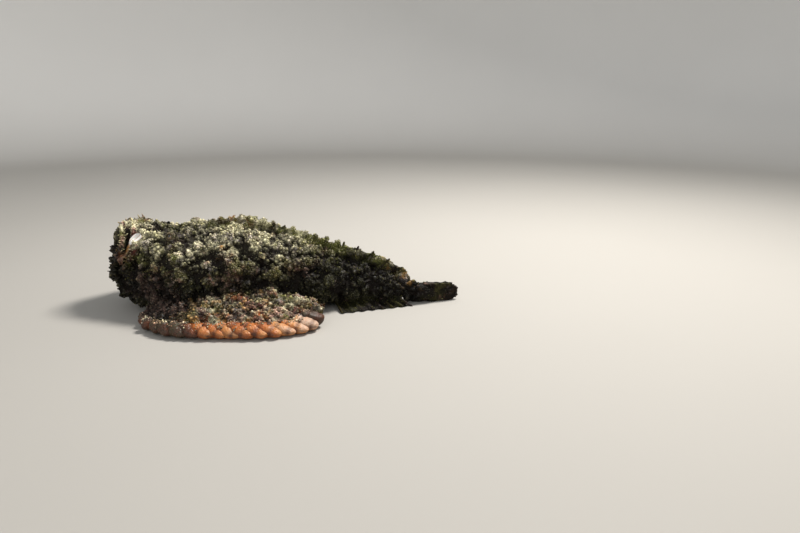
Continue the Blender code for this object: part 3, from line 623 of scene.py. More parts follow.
def wart_material(marks_and_light):
    """The same skin drawn tight over hard little warts: slightly shiny, pale tips with painted highlight,
    dark roots with painted shade.
    """
    material, tree, shader, place = new_material("Wart skin")
    colour = put(tree, "ShaderNodeGroup", node_tree=marks_and_light).outputs["Colour"]
    tip = put(tree, "ShaderNodeAttribute", attribute_name="tip").outputs["Fac"]
    tone = put(tree, "ShaderNodeAttribute", attribute_name="tone").outputs["Fac"]
    grain = put(tree, "ShaderNodeTexNoise", {"Vector": place, "Scale": 1 / 0.0011, "Detail": 3.0})
    # Each wart has its own tone, from half as light as the skin round it to nearly twice as light.
    gain = put(tree, "ShaderNodeMapRange",
               {"Value": tone, "From Min": 0.15, "From Max": 1.0, "To Min": 0.46, "To Max": 1.85}
               ).outputs["Result"]
    other = put(tree, "ShaderNodeMath", {0: tone, 1: 7.0}, operation="MULTIPLY").outputs[0]
    mixed_up = put(tree, "ShaderNodeMath", {0: other}, operation="FRACT").outputs[0]
    hue = put(tree, "ShaderNodeValToRGB", {"Fac": mixed_up},
              stops=((0.0, "4E4C26"), (0.25, "A19A55"), (0.45, "8A7B84"), (0.65, "C8BF8A"), (0.85, "6E5640"),
                     (1.0, "60682F")))
    warm = put(tree, "ShaderNodeAttribute", attribute_name="warm").outputs["Fac"]
    light = put(tree, "ShaderNodeAttribute", attribute_name="light").outputs["Fac"]
    hollow = put(tree, "ShaderNodeAttribute", attribute_name="hollow").outputs["Fac"]
    crest = put(tree, "ShaderNodeAttribute", attribute_name="crest").outputs["Fac"]
    # The painted light also brings out each wart's own hue.
    own = put(tree, "ShaderNodeMapRange",
              {"Value": light, "From Min": -0.6, "From Max": 0.2, "To Min": 0.05,
               "To Max": 0.36}).outputs["Result"]
    less = put(tree, "ShaderNodeMapRange",
               {"Value": warm, "From Min": 0.1, "From Max": 0.5, "To Min": 1.0,
                "To Max": 0.35}).outputs["Result"]
    own = put(tree, "ShaderNodeMath", {0: own, 1: less}, operation="MULTIPLY").outputs[0]
    colour = put(tree, "ShaderNodeMix", {"Factor": own, 6: colour, 7: hue.outputs["Color"]},
                 data_type="RGBA").outputs[2]
    toned = put(tree, "ShaderNodeVectorMath", {0: colour, "Scale": gain}, operation="SCALE")
    # Painted shade at each wart's root, painted light towards its tip.
    shade = put(tree, "ShaderNodeMapRange",
                {"Value": tip, "From Min": 0.0, "From Max": 0.90, "To Min": 0.26,
                 "To Max": 1.25}).outputs["Result"]
    # Painted shade: warts low between the knobs are nearly as dark as the recess, those on top of a knob the
    # palest.
    shade_in_hollows = put(tree, "ShaderNodeMapRange",
               {"Value": hollow, "From Min": 0.0, "From Max": 0.6, "To Min": 1.0,
                "To Max": 0.16}).outputs["Result"]
    shade = put(tree, "ShaderNodeMath", {0: shade, 1: shade_in_hollows}, operation="MULTIPLY").outputs[0]
    rooted = put(tree, "ShaderNodeVectorMath", {0: toned.outputs[0], "Scale": shade}, operation="SCALE")
    # Painted highlight: the tips pale to cream where the painted light is high and on crests.
    peak = put(tree, "ShaderNodeMapRange",
               {"Value": tip, "From Min": 0.40, "From Max": 1.0, "To Min": 0.0,
                "To Max": 0.62}).outputs["Result"]
    lit = put(tree, "ShaderNodeMapRange",
              {"Value": light, "From Min": -0.6, "From Max": 0.3, "To Min": 0.10,
               "To Max": 1.0}).outputs["Result"]
    peak = put(tree, "ShaderNodeMath", {0: peak, 1: lit}, operation="MULTIPLY").outputs[0]
    high = put(tree, "ShaderNodeMapRange", {"Value": crest, "To Min": 0.25, "To Max": 1.0}).outputs["Result"]
    peak = put(tree, "ShaderNodeMath", {0: peak, 1: high}, operation="MULTIPLY").outputs[0]
    end = put(tree, "ShaderNodeMix", {"Factor": warm, 6: linear("D8D2A6"), 7: linear("E8CFB6")},
              data_type="RGBA")
    paled = put(tree, "ShaderNodeMix", {"Factor": peak, 6: rooted.outputs[0], 7: end.outputs[2]},
                data_type="RGBA")
    tree.links.new(paled.outputs[2], shader.inputs["Base Color"])
    bump = put(tree, "ShaderNodeBump", {"Height": grain.outputs["Fac"], "Strength": 0.5, "Distance": 0.0004})
    tree.links.new(bump.outputs[0], shader.inputs["Normal"])
    shader.inputs["Roughness"].default_value = 0.52
    shader.inputs["Specular IOR Level"].default_value = 0.28
    return material


def weed_material():
    """Filamentous green weed that grows on the skin: soft and matt, dark at the root, paler at the tips."""
    material, tree, shader, place = new_material("Filamentous weed")
    tip = put(tree, "ShaderNodeAttribute", attribute_name="tip").outputs["Fac"]
    tone = put(tree, "ShaderNodeAttribute", attribute_name="tone").outputs["Fac"]
    # Stands of weed 8 mm across are greener or browner than their neighbours.
    stand = put(tree, "ShaderNodeTexNoise", {"Vector": place, "Scale": 1 / 0.008, "Detail": 2.0})
    both = put(tree, "ShaderNodeMath", {0: tone, 1: 0.4, 2: stand.outputs["Fac"]}, operation="MULTIPLY_ADD")
    hue = put(tree, "ShaderNodeValToRGB", {"Fac": both.outputs[0]},
              stops=((0.35, "2E2618"), (0.55, "4B4820"), (0.75, "70702E"), (0.95, "A9A55E")))
    shade = put(tree, "ShaderNodeMapRange", {"Value": tip, "To Min": 0.30, "To Max": 1.15})
    warm = put(tree, "ShaderNodeAttribute", attribute_name="warm").outputs["Fac"]
    rusty = put(tree, "ShaderNodeMapRange",
                {"Value": warm, "From Min": 0.1, "From Max": 0.6, "To Max": 0.75})
    tinted = put(tree, "ShaderNodeMix",
                 {"Factor": rusty.outputs["Result"], 6: hue.outputs["Color"], 7: linear("A26A2C")},
                 data_type="RGBA")
    toned = put(tree, "ShaderNodeVectorMath", {0: tinted.outputs[2], "Scale": shade.outputs["Result"]},
                operation="SCALE")
    tree.links.new(toned.outputs[0], shader.inputs["Base Color"])
    shader.inputs["Roughness"].default_value = 0.75
    return material


def rim_material():
    """Thick orange skin of the fin's rim: damp, in soft rings, finely pebbled and freckled red-brown, with
    painted shade in its furrows and along its sides.
    """
    material, tree, shader, place = new_material("Orange fin rim skin")
    tone = put(tree, "ShaderNodeAttribute", attribute_name="tone").outputs["Fac"]
    furrow = put(tree, "ShaderNodeAttribute", attribute_name="hollow").outputs["Fac"]
    blotch = put(tree, "ShaderNodeTexNoise", {"Vector": place, "Scale": 1 / 0.007, "Detail": 4.0})
    mixed = put(tree, "ShaderNodeMath", {0: blotch.outputs["Fac"], 1: 0.55, 2: tone},
                operation="MULTIPLY_ADD")
    hue = put(tree, "ShaderNodeValToRGB", {"Fac": mixed.outputs[0]},
              stops=((0.0, "38331C"), (0.22, "3B2412"), (0.42, "74390F"), (0.56, "AA5C1E"),
                     (0.76, "C4864E"), (1.0, "C0A088")))
    dots = put(tree, "ShaderNodeTexVoronoi", {"Vector": place, "Scale": 1 / 0.0019})
    fine = put(tree, "ShaderNodeTexNoise", {"Vector": place, "Scale": 1 / 0.0012, "Detail": 4.0})
    uneven = put(tree, "ShaderNodeMath", {0: dots.outputs["Distance"], 1: fine.outputs["Fac"]}).outputs[0]
    speck = put(tree, "ShaderNodeMapRange",
                {"Value": uneven, "From Min": 0.74, "From Max": 0.50, "To Max": 0.62})
    dotted = put(tree, "ShaderNodeMix",
                 {"Factor": speck.outputs["Result"], 6: hue.outputs["Color"], 7: linear("6E2A14")},
                 data_type="RGBA")
    # Painted shade in the furrows and along the lobes' sides.
    shade_in_hollows = put(tree, "ShaderNodeMix", {"Factor": furrow, 6: dotted.outputs[2], 7: linear("4A2410")},
               data_type="RGBA")
    tree.links.new(shade_in_hollows.outputs[2], shader.inputs["Base Color"])
    bump = put(tree, "ShaderNodeBump", {"Height": uneven, "Strength": 0.7, "Distance": 0.0006})
    tree.links.new(bump.outputs[0], shader.inputs["Normal"])
    shader.inputs["Roughness"].default_value = 0.48
    shader.inputs["Subsurface Weight"].default_value = 0.12
    shader.inputs["Subsurface Radius"].default_value = (0.004, 0.0015, 0.0008)
    return material


def membrane_material():
    """The wet, hairless skin inside the corner of the mouth: white above, orange-brown below, with painted
    shade in its folds and at its edges.
    """
    material, tree, shader, place = new_material("Mouth membrane")
    along = put(tree, "ShaderNodeAttribute", attribute_name="along").outputs["Fac"]
    furrow = put(tree, "ShaderNodeAttribute", attribute_name="hollow").outputs["Fac"]
    mottle = put(tree, "ShaderNodeTexNoise", {"Vector": place, "Scale": 1 / 0.005, "Detail": 4.0})
    mixed = put(tree, "ShaderNodeMath", {0: mottle.outputs["Fac"], 1: 0.35, 2: along},
                operation="MULTIPLY_ADD")
    hue = put(tree, "ShaderNodeValToRGB", {"Fac": mixed.outputs[0]},
              stops=((0.15, "3A241C"), (0.48, "6E4A30"), (0.72, "B07A38"), (0.80, "D8B48E"),
                     (0.86, "FAF7F0")))
    # Painted shade in the folds and at the edges.
    shade_in_hollows = put(tree, "ShaderNodeMix", {"Factor": furrow, 6: hue.outputs["Color"], 7: linear("B8947C")},
               data_type="RGBA")
    tree.links.new(shade_in_hollows.outputs[2], shader.inputs["Base Color"])
    shader.inputs["Roughness"].default_value = 0.30
    shader.inputs["Subsurface Weight"].default_value = 0.15
    shader.inputs["Subsurface Radius"].default_value = (0.003, 0.0015, 0.001)
    return material


def eye_material():
    """A wet fish eye: black pupil, bronze iris with dark flecks, under a clear glossy cornea."""
    material, tree, shader, place = new_material("Wet fish eye")
    out = put(tree, "ShaderNodeAttribute", attribute_name="out").outputs["Fac"]
    flecks = put(tree, "ShaderNodeTexNoise", {"Vector": place, "Scale": 1 / 0.0008, "Detail": 4.0})
    ring = put(tree, "ShaderNodeValToRGB", {"Fac": out},
               stops=((0.0, "050506"), (0.24, "08090A"), (0.27, "A5823F"), (0.32, "5A4424"),
                      (0.50, "3A301D"),
                      (0.68, "17120E")))
    speckled = put(tree, "ShaderNodeMapRange",
                   {"Value": flecks.outputs["Fac"], "To Min": 0.4, "To Max": 1.5})
    toned = put(tree, "ShaderNodeVectorMath",
                {0: ring.outputs["Color"], "Scale": speckled.outputs["Result"]},
                operation="SCALE")
    tree.links.new(toned.outputs[0], shader.inputs["Base Color"])
    shader.inputs["Roughness"].default_value = 0.35
    shader.inputs["Coat Weight"].default_value = 1.0
    shader.inputs["Coat Roughness"].default_value = 0.03
    return material


def stage_material(name, code, roughness):
    """Matt painted board, with a faint unevenness, and paler where it curves up into the wall."""
    material, tree, shader, place = new_material(name)
    soft = put(tree, "ShaderNodeTexNoise", {"Vector": place, "Scale": 3.0, "Detail": 2.0})
    tone = put(tree, "ShaderNodeMapRange", {"Value": soft.outputs["Fac"], "To Min": 0.97, "To Max": 1.03})
    far = put(tree, "ShaderNodeVectorMath", {0: place}, operation="LENGTH").outputs["Value"]
    up = put(tree, "ShaderNodeMapRange", {"Value": far, "From Min": 1.3, "From Max": 2.1},
             interpolation_type="SMOOTHSTEP").outputs["Result"]
    board = put(tree, "ShaderNodeMix", {"Factor": up, 6: code, 7: linear("F0EEEA")},
                data_type="RGBA").outputs[2]
    toned = put(tree, "ShaderNodeVectorMath", {0: board, "Scale": tone.outputs["Result"]}, operation="SCALE")
    tree.links.new(toned.outputs[0], shader.inputs["Base Color"])
    shader.inputs["Roughness"].default_value = roughness
    return material


def relief_tree():
    """Broad lumps, round knobs and worm-like folds, pushed out along the skin's own normals; how deep or
    high each point goes is kept for painted shade and painted highlight.
    """
    floats = (
        ("Lump Height", 0.0018), ("Knob Height", 0.0036), ("Knob Spacing", 0.0125), ("Fold Depth", 0.0007),
    )
    tree, given, out = new_tree("Warty relief", floats)
    place = put(tree, "GeometryNodeInputPosition").outputs[0]
    weight = put(tree, "GeometryNodeInputNamedAttribute", {"Name": "relief"}, data_type="FLOAT").outputs[0]
    wander = put(tree, "ShaderNodeTexNoise", {"Vector": place, "Scale": 1 / 0.012, "Detail": 2.0})
    shift = put(tree, "ShaderNodeVectorMath",
                {0: wander.outputs["Color"], "Scale": 0.010}, operation="SCALE")
    warped = put(tree, "ShaderNodeVectorMath", {0: place, 1: shift.outputs[0]}, operation="ADD").outputs[0]
    density = put(tree, "ShaderNodeMath", {0: 1.0, 1: given["Knob Spacing"]}, operation="DIVIDE").outputs[0]
    total = None
    # Each row: how much finer than the spacing, and how much lower than the knobs' full height.
    for finer, lower in ((1.0, 0.85), (2.4, 0.80)):
        scale = put(tree, "ShaderNodeMath", {0: density, 1: finer}, operation="MULTIPLY").outputs[0]
        cells = put(tree, "ShaderNodeTexVoronoi", {"Vector": warped, "Scale": scale, "Smoothness": 0.35},
                    feature="SMOOTH_F1")
        dome = put(tree, "ShaderNodeMapRange",
                   {"Value": cells.outputs["Distance"], "From Min": 0.74, "From Max": 0.20,
                    "To Min": -1.0, "To Max": 0.5}, interpolation_type="SMOOTHSTEP").outputs["Result"]
        height = put(tree, "ShaderNodeMath", {0: given["Knob Height"], 1: lower},
                     operation="MULTIPLY").outputs[0]
        part = put(tree, "ShaderNodeMath", {0: dome, 1: height}, operation="MULTIPLY").outputs[0]
        total = part if total is None else put(tree, "ShaderNodeMath", {0: total, 1: part}).outputs[0]
    lumps = put(tree, "ShaderNodeTexNoise", {"Vector": place, "Scale": 1 / 0.026, "Detail": 1.0})
    centred = put(tree, "ShaderNodeMath", {0: lumps.outputs["Fac"], 1: 0.5}, operation="SUBTRACT").outputs[0]
    doubled = put(tree, "ShaderNodeMath", {0: centred, 1: 2.0}, operation="MULTIPLY").outputs[0]
    total = put(tree, "ShaderNodeMath", {0: doubled, 1: given["Lump Height"], 2: total},
                operation="MULTIPLY_ADD").outputs[0]
    fold = put(tree, "ShaderNodeTexNoise", {"Vector": warped, "Scale": 1 / 0.0065, "Detail": 1.0})
    middle = put(tree, "ShaderNodeMath", {0: fold.outputs["Fac"], 1: 0.5}, operation="SUBTRACT").outputs[0]
    ridge = put(tree, "ShaderNodeMath", {0: middle}, operation="ABSOLUTE").outputs[0]
    groove = put(tree, "ShaderNodeMapRange",
                 {"Value": ridge, "From Min": 0.0, "From Max": 0.07, "To Min": -1.0, "To Max": 0.3}
                 ).outputs["Result"]
    total = put(tree, "ShaderNodeMath", {0: groove, 1: given["Fold Depth"], 2: total},
                operation="MULTIPLY_ADD").outputs[0]
    extra = put(tree, "GeometryNodeInputNamedAttribute", {"Name": "extra"}, data_type="FLOAT").outputs[0]
    lift = put(tree, "ShaderNodeMath", {0: total, 1: weight, 2: extra}, operation="MULTIPLY_ADD").outputs[0]
    # How far each point sinks or rises, kept for painted shade in the hollows and painted highlight on the
    # crests.
    hollow = put(tree, "ShaderNodeMapRange",
                 {"Value": lift, "From Min": -0.0009, "From Max": -0.0034, "To Min": 0.0, "To Max": 0.97}
                 ).outputs["Result"]
    crest = put(tree, "ShaderNodeMapRange", {"Value": lift, "From Min": -0.0008, "From Max": 0.0022}
                ).outputs["Result"]
    kept = put(tree, "GeometryNodeStoreNamedAttribute",
               {"Geometry": given["Geometry"], "Name": "hollow", "Value": hollow},
               data_type="FLOAT", domain="POINT").outputs[0]
    kept = put(tree, "GeometryNodeStoreNamedAttribute", {"Geometry": kept, "Name": "crest", "Value": crest},
               data_type="FLOAT", domain="POINT").outputs[0]
    normal = put(tree, "GeometryNodeInputNormal").outputs[0]
    offset = put(tree, "ShaderNodeVectorMath", {0: normal, "Scale": lift}, operation="SCALE").outputs[0]
    moved = put(tree, "GeometryNodeSetPosition", {"Geometry": kept, "Offset": offset}).outputs[0]
    tree.links.new(moved, out["Geometry"])
    return tree


def coat_tree():
    """Scatters small shapes over the skin, each standing on its own root and coloured from it."""
    floats = (
        ("Spacing", 0.002), ("Least Size", 0.001), ("Greatest Size", 0.002), ("Tilt", 0.3),
        ("Lean Back", 0.0),
        ("Least Tone", 0.0), ("Greatest Tone", 1.0),
    )
    others = (
        ("Weight", "NodeSocketString"), ("Shapes", "NodeSocketCollection"), ("Finish", "NodeSocketMaterial"),
        ("Seed", "NodeSocketInt"), ("Parts", "NodeSocketInt"), ("Part", "NodeSocketInt"),
    )
    tree, given, out = new_tree("Coat", floats, others)
    weight = put(tree, "GeometryNodeInputNamedAttribute", {"Name": given["Weight"]},
                 data_type="FLOAT").outputs[0]
    hollow = put(tree, "GeometryNodeInputNamedAttribute", {"Name": "hollow"}, data_type="FLOAT").outputs[0]
    bare = put(tree, "ShaderNodeMapRange",
               {"Value": hollow, "From Min": 0.35, "From Max": 0.85, "To Min": 1.0, "To Max": 0.25}
               ).outputs["Result"]
    weight = put(tree, "ShaderNodeMath", {0: weight, 1: bare}, operation="MULTIPLY").outputs[0]
    squared = put(tree, "ShaderNodeMath", {0: given["Spacing"], 1: given["Spacing"]}, operation="MULTIPLY")
    crowd = put(tree, "ShaderNodeMath", {0: 3.0, 1: squared.outputs[0]}, operation="DIVIDE").outputs[0]
    spread = put(
        tree, "GeometryNodeDistributePointsOnFaces",
        {"Mesh": given["Geometry"], "Distance Min": given["Spacing"], "Density Max": crowd,
         "Density Factor": weight, "Seed": given["Seed"]},
        distribute_method="POISSON",
    )
    index = put(tree, "GeometryNodeInputIndex").outputs[0]
    turn = put(tree, "FunctionNodeIntegerMath", {0: index, 1: given["Parts"]}, operation="MODULO").outputs[0]
    other = put(tree, "FunctionNodeCompare", {2: turn, 3: given["Part"]}, data_type="INT",
                operation="NOT_EQUAL")
    tone = put(tree, "FunctionNodeRandomValue",
               {2: given["Least Tone"], 3: given["Greatest Tone"], "Seed": given["Seed"]},
               data_type="FLOAT").outputs[1]
    toned = put(tree, "GeometryNodeStoreNamedAttribute",
                {"Geometry": spread.outputs["Points"], "Name": "tone", "Value": tone},
                data_type="FLOAT", domain="POINT").outputs[0]
    root = put(tree, "GeometryNodeInputNamedAttribute", {"Name": "OFBake"},
               data_type="FLOAT_VECTOR").outputs[0]
    rooted = put(tree, "GeometryNodeStoreNamedAttribute", {"Geometry": toned, "Name": "root", "Value": root},
                 data_type="FLOAT_VECTOR", domain="POINT").outputs[0]
    spin_seed = put(tree, "FunctionNodeIntegerMath", {0: given["Seed"], 1: 1}).outputs[0]
    size_seed = put(tree, "FunctionNodeIntegerMath", {0: given["Seed"], 1: 2}).outputs[0]
    pick_seed = put(tree, "FunctionNodeIntegerMath", {0: given["Seed"], 1: 3}).outputs[0]
    back = put(tree, "ShaderNodeMath", {0: given["Tilt"], 1: -1.0}, operation="MULTIPLY").outputs[0]
    least = put(tree, "ShaderNodeCombineXYZ", {0: back, 1: back, 2: 0.0}).outputs[0]
    most = put(tree, "ShaderNodeCombineXYZ", {0: given["Tilt"], 1: given["Tilt"], 2: 2 * math.pi}).outputs[0]
    spin = put(tree, "FunctionNodeRandomValue", {0: least, 1: most, "Seed": spin_seed},
               data_type="FLOAT_VECTOR").outputs[0]
    trail = put(tree, "ShaderNodeCombineXYZ", {0: given["Lean Back"], 1: 0.0, 2: 0.0}).outputs[0]
    outward = put(tree, "ShaderNodeVectorMath", {0: spread.outputs["Normal"], 1: trail},
                  operation="ADD").outputs[0]
    aligned = put(tree, "FunctionNodeAlignRotationToVector", {"Vector": outward}, axis="Z").outputs[0]
    turned = put(tree, "FunctionNodeRotateRotation", {"Rotation": aligned, "Rotate By": spin},
                 rotation_space="LOCAL").outputs[0]
    chance = put(tree, "FunctionNodeRandomValue", {"Seed": size_seed}, data_type="FLOAT").outputs[1]
    skewed = put(tree, "ShaderNodeMath", {0: chance, 1: 2.2}, operation="POWER").outputs[0]
    size = put(tree, "ShaderNodeMapRange",
               {"Value": skewed, "To Min": given["Least Size"], "To Max": given["Greatest Size"]}
               ).outputs["Result"]
    uneven = put(tree, "FunctionNodeRandomValue",
                 {0: (0.80, 0.70, 0.75), 1: (1.25, 1.10, 1.30), "Seed": pick_seed},
                 data_type="FLOAT_VECTOR").outputs[0]
    size = put(tree, "ShaderNodeVectorMath", {0: uneven, "Scale": size}, operation="SCALE").outputs[0]
    pick = put(tree, "FunctionNodeRandomValue", {4: 0, 5: 50, "Seed": pick_seed}, data_type="INT").outputs[2]
    shapes = put(tree, "GeometryNodeCollectionInfo",
                 {"Collection": given["Shapes"], "Separate Children": True,
                                                      "Reset Children": True}).outputs[0]
    few = put(tree, "GeometryNodeDeleteGeometry", {"Geometry": rooted, "Selection": other.outputs[0]},
              domain="POINT").outputs[0]
    placed = put(
        tree, "GeometryNodeInstanceOnPoints",
        {"Points": few, "Instance": shapes, "Pick Instance": True, "Instance Index": pick,
         "Rotation": turned, "Scale": size},
    ).outputs[0]
    real = put(tree, "GeometryNodeRealizeInstances", {"Geometry": placed}).outputs[0]
    root_again = put(tree, "GeometryNodeInputNamedAttribute", {"Name": "root"},
                     data_type="FLOAT_VECTOR").outputs[0]
    patch = put(tree, "GeometryNodeInputNamedAttribute", {"Name": "patch"},
                data_type="FLOAT_VECTOR").outputs[0]
    # Each shape's colours are kept in a small patch at its root's place.
    small = put(tree, "ShaderNodeVectorMath", {0: patch, "Scale": BAKE_PATCH}, operation="SCALE").outputs[0]
    spot = put(tree, "ShaderNodeVectorMath", {0: root_again, 1: small}, operation="ADD").outputs[0]
    unmapped = put(tree, "GeometryNodeRemoveAttribute", {"Geometry": real, "Name": "OFBake"}).outputs[0]
    mapped = put(tree, "GeometryNodeStoreNamedAttribute",
                 {"Geometry": unmapped, "Name": "OFBake", "Value": spot},
                 data_type="FLOAT2", domain="CORNER").outputs[0]
    smooth = put(tree, "GeometryNodeSetShadeSmooth", {"Geometry": mapped}).outputs[0]
    done = put(tree, "GeometryNodeSetMaterial", {"Geometry": smooth, "Material": given["Finish"]}).outputs[0]
    tree.links.new(done, out["Geometry"])
    return tree


def shape_from_rings(name, rings, tip):
    """A small shape from rings of points, open at its foot and closed at its tip."""
    mesh = bmesh.new()
    loops = [[mesh.verts.new(p) for p in ring] for ring in rings]
    bridge(mesh, loops)
    top = mesh.verts.new(tip)
    last = loops[-1]
    for k in range(len(last)):
        mesh.faces.new((last[k], last[(k + 1) % len(last)], top))
    return shape_object(name, mesh)


def shape_object(name, mesh):
    """A shape to scatter, which knows how far up each point is and where it lies in its patch of colour."""
    data = bpy.data.meshes.new(name)
    mesh.to_mesh(data)
    mesh.free()
    points = points_of(data)
    top = points[:, 2].max()
    store(data, "tip", np.clip(points[:, 2] / top, 0, 1))
    flat = np.stack((points[:, 0] + 0.35 * points[:, 2], points[:, 1] * 0.8 + 0.45 * points[:, 2]), axis=1)
    flat = (flat - flat.min(axis=0)) / np.ptp(flat, axis=0).max() - 0.5
    layer = data.attributes.new("patch", "FLOAT_VECTOR", "POINT")
    layer.data.foreach_set("vector", np.c_[flat, np.zeros(len(flat))].astype(np.float32).ravel())
    return bpy.data.objects.new(name, data)


def nub(name, sides, shares, height, peak, wobble):
    """A wart with its foot sunk in the skin. peak is 0 for a dome and 1 for a cone."""
    rings = []
    for j, t in enumerate(shares):
        radius = (1 - t) ** (0.45 + 0.65 * peak) + 0.10 * (1 - t) ** 6
        ring = []
        for k in range(sides):
            a = 2 * math.pi * (k + 0.5 * (j % 2)) / sides
            out = radius * (1 + random.uniform(-wobble, wobble))
            lift = random.uniform(-0.4, 0.4) * wobble if j else 0.0
            ring.append((out * math.cos(a), out * math.sin(a), -0.45 + (height + 0.45) * t + lift))
        rings.append(ring)
    return shape_from_rings(name, rings, (random.uniform(-0.2, 0.2), random.uniform(-0.2, 0.2), height))


def tag(name, sides, levels, height, bend, blunt):
    """A soft blunt skin tag that narrows a little and bends over."""
    rings = []
    for j in range(levels):
        t = j / levels
        radius = (1 - t**4) ** blunt * (1 - 0.30 * t) * (1 + 0.12 * math.sin(8 * t)) + 0.3 * (1 - t) ** 6
        x, z = bend * height * t * t, -0.3 + (height + 0.3) * t
        ring = []
        for k in range(sides):
            a = 2 * math.pi * k / sides
            out = radius * (1 + random.uniform(-0.10, 0.10))
            ring.append((x + out * math.cos(a), out * math.sin(a), z))
        rings.append(ring)
    return shape_from_rings(name, rings, (bend * height, 0, height))


def tuft(name, blades, height, spread):
    """A tuft of weed: some thin blades from one root."""
    mesh = bmesh.new()
    for i in range(blades):
        a = 2 * math.pi * (i + random.random() * 0.6) / blades
        lean = spread * random.uniform(0.3, 1.0)
        tall = height * random.uniform(0.6, 1.0)
        out = Vector((math.cos(a), math.sin(a), 0))
        side = Vector((-out.y, out.x, 0))
        loops = []
        curl = random.uniform(-0.8, 0.8)
        for t, width in ((0.0, 0.17), (0.55, 0.14)):
            middle = out * (0.1 + lean * t) + side * curl * t * t + Vector((0, 0, tall * t - 0.15))
            corners = (side * width, (out * 0.5 - side * 0.8) * width, (-out * 0.5 - side * 0.3) * width)
            loops.append([mesh.verts.new(middle + corner) for corner in corners])
        for k in range(3):
            n = (k + 1) % 3
            mesh.faces.new((loops[0][k], loops[0][n], loops[1][n], loops[1][k]))
        top = mesh.verts.new(out * (0.1 + 1.25 * lean) + side * curl + Vector((0, 0, tall * 0.85)))
        for k in range(3):
            mesh.faces.new((loops[1][k], loops[1][(k + 1) % 3], top))
    bmesh.ops.recalc_face_normals(mesh, faces=mesh.faces)
    return shape_object(name, mesh)


def collect(name, shapes):
    """A collection of shapes for a tree to scatter."""
    group = bpy.data.collections.new(name)
    bpy.context.scene.collection.children.link(group)
    for shape in shapes:
        group.objects.link(shape)
    return group


def clear_collection(group):
    """Removes a collection with the shapes in it."""
    for shape in list(group.objects):
        bpy.data.objects.remove(shape)
    bpy.data.collections.remove(group)


def share_on_fan(points, chosen, samples):
    """For each chosen point, the shares (a, r) of the nearest of some sampled places of a fan."""
    reach = KDTree(len(samples))
    for i, (place, _) in enumerate(samples):
        reach.insert(place, i)
    reach.balance()
    shares = np.zeros((len(points), 2))
    for i in np.nonzero(chosen)[0]:
        shares[i] = samples[reach.find(Vector(points[i]))[1]][1]
    return shares.T


def ray_samples(roots, tips, bow, rays):
    """Places over a ray fin, fine enough to tell its rays apart."""
    columns = 10 * rays
    samples = []
    for i in range(columns + 1):
        a = i / columns
        root = Vector(roots[0]).lerp(Vector(roots[1]), a)
        tip = Vector(tips[0]).lerp(Vector(tips[1]), a) + Vector((0, 0, 4 * bow * a * (1 - a)))
        for j in range(17):
            samples.append((root.lerp(tip, j / 16), (a, j / 16)))
    return samples


def share_on(points, *names):
    """1 for each point on some nodes and 0 for those 2 mm off them."""
    return 1 - ease(distance_to(points, names), 0.0004, 0.002)


def fan_shares(points, on_fan):
    """Where each point of a pectoral fin lies: its shares of the way along the rim and out to it."""
    samples = []
    for i in range(8 * FAN_RAYS + 1):
        for j in range(25):
            shares = (i / (8 * FAN_RAYS), j / 24)
            samples.append((fan_point(*shares), shares))
    folded = points.copy()
    folded[:, 1] = -np.abs(folded[:, 1])
    return share_on_fan(folded, on_fan > 0, samples)


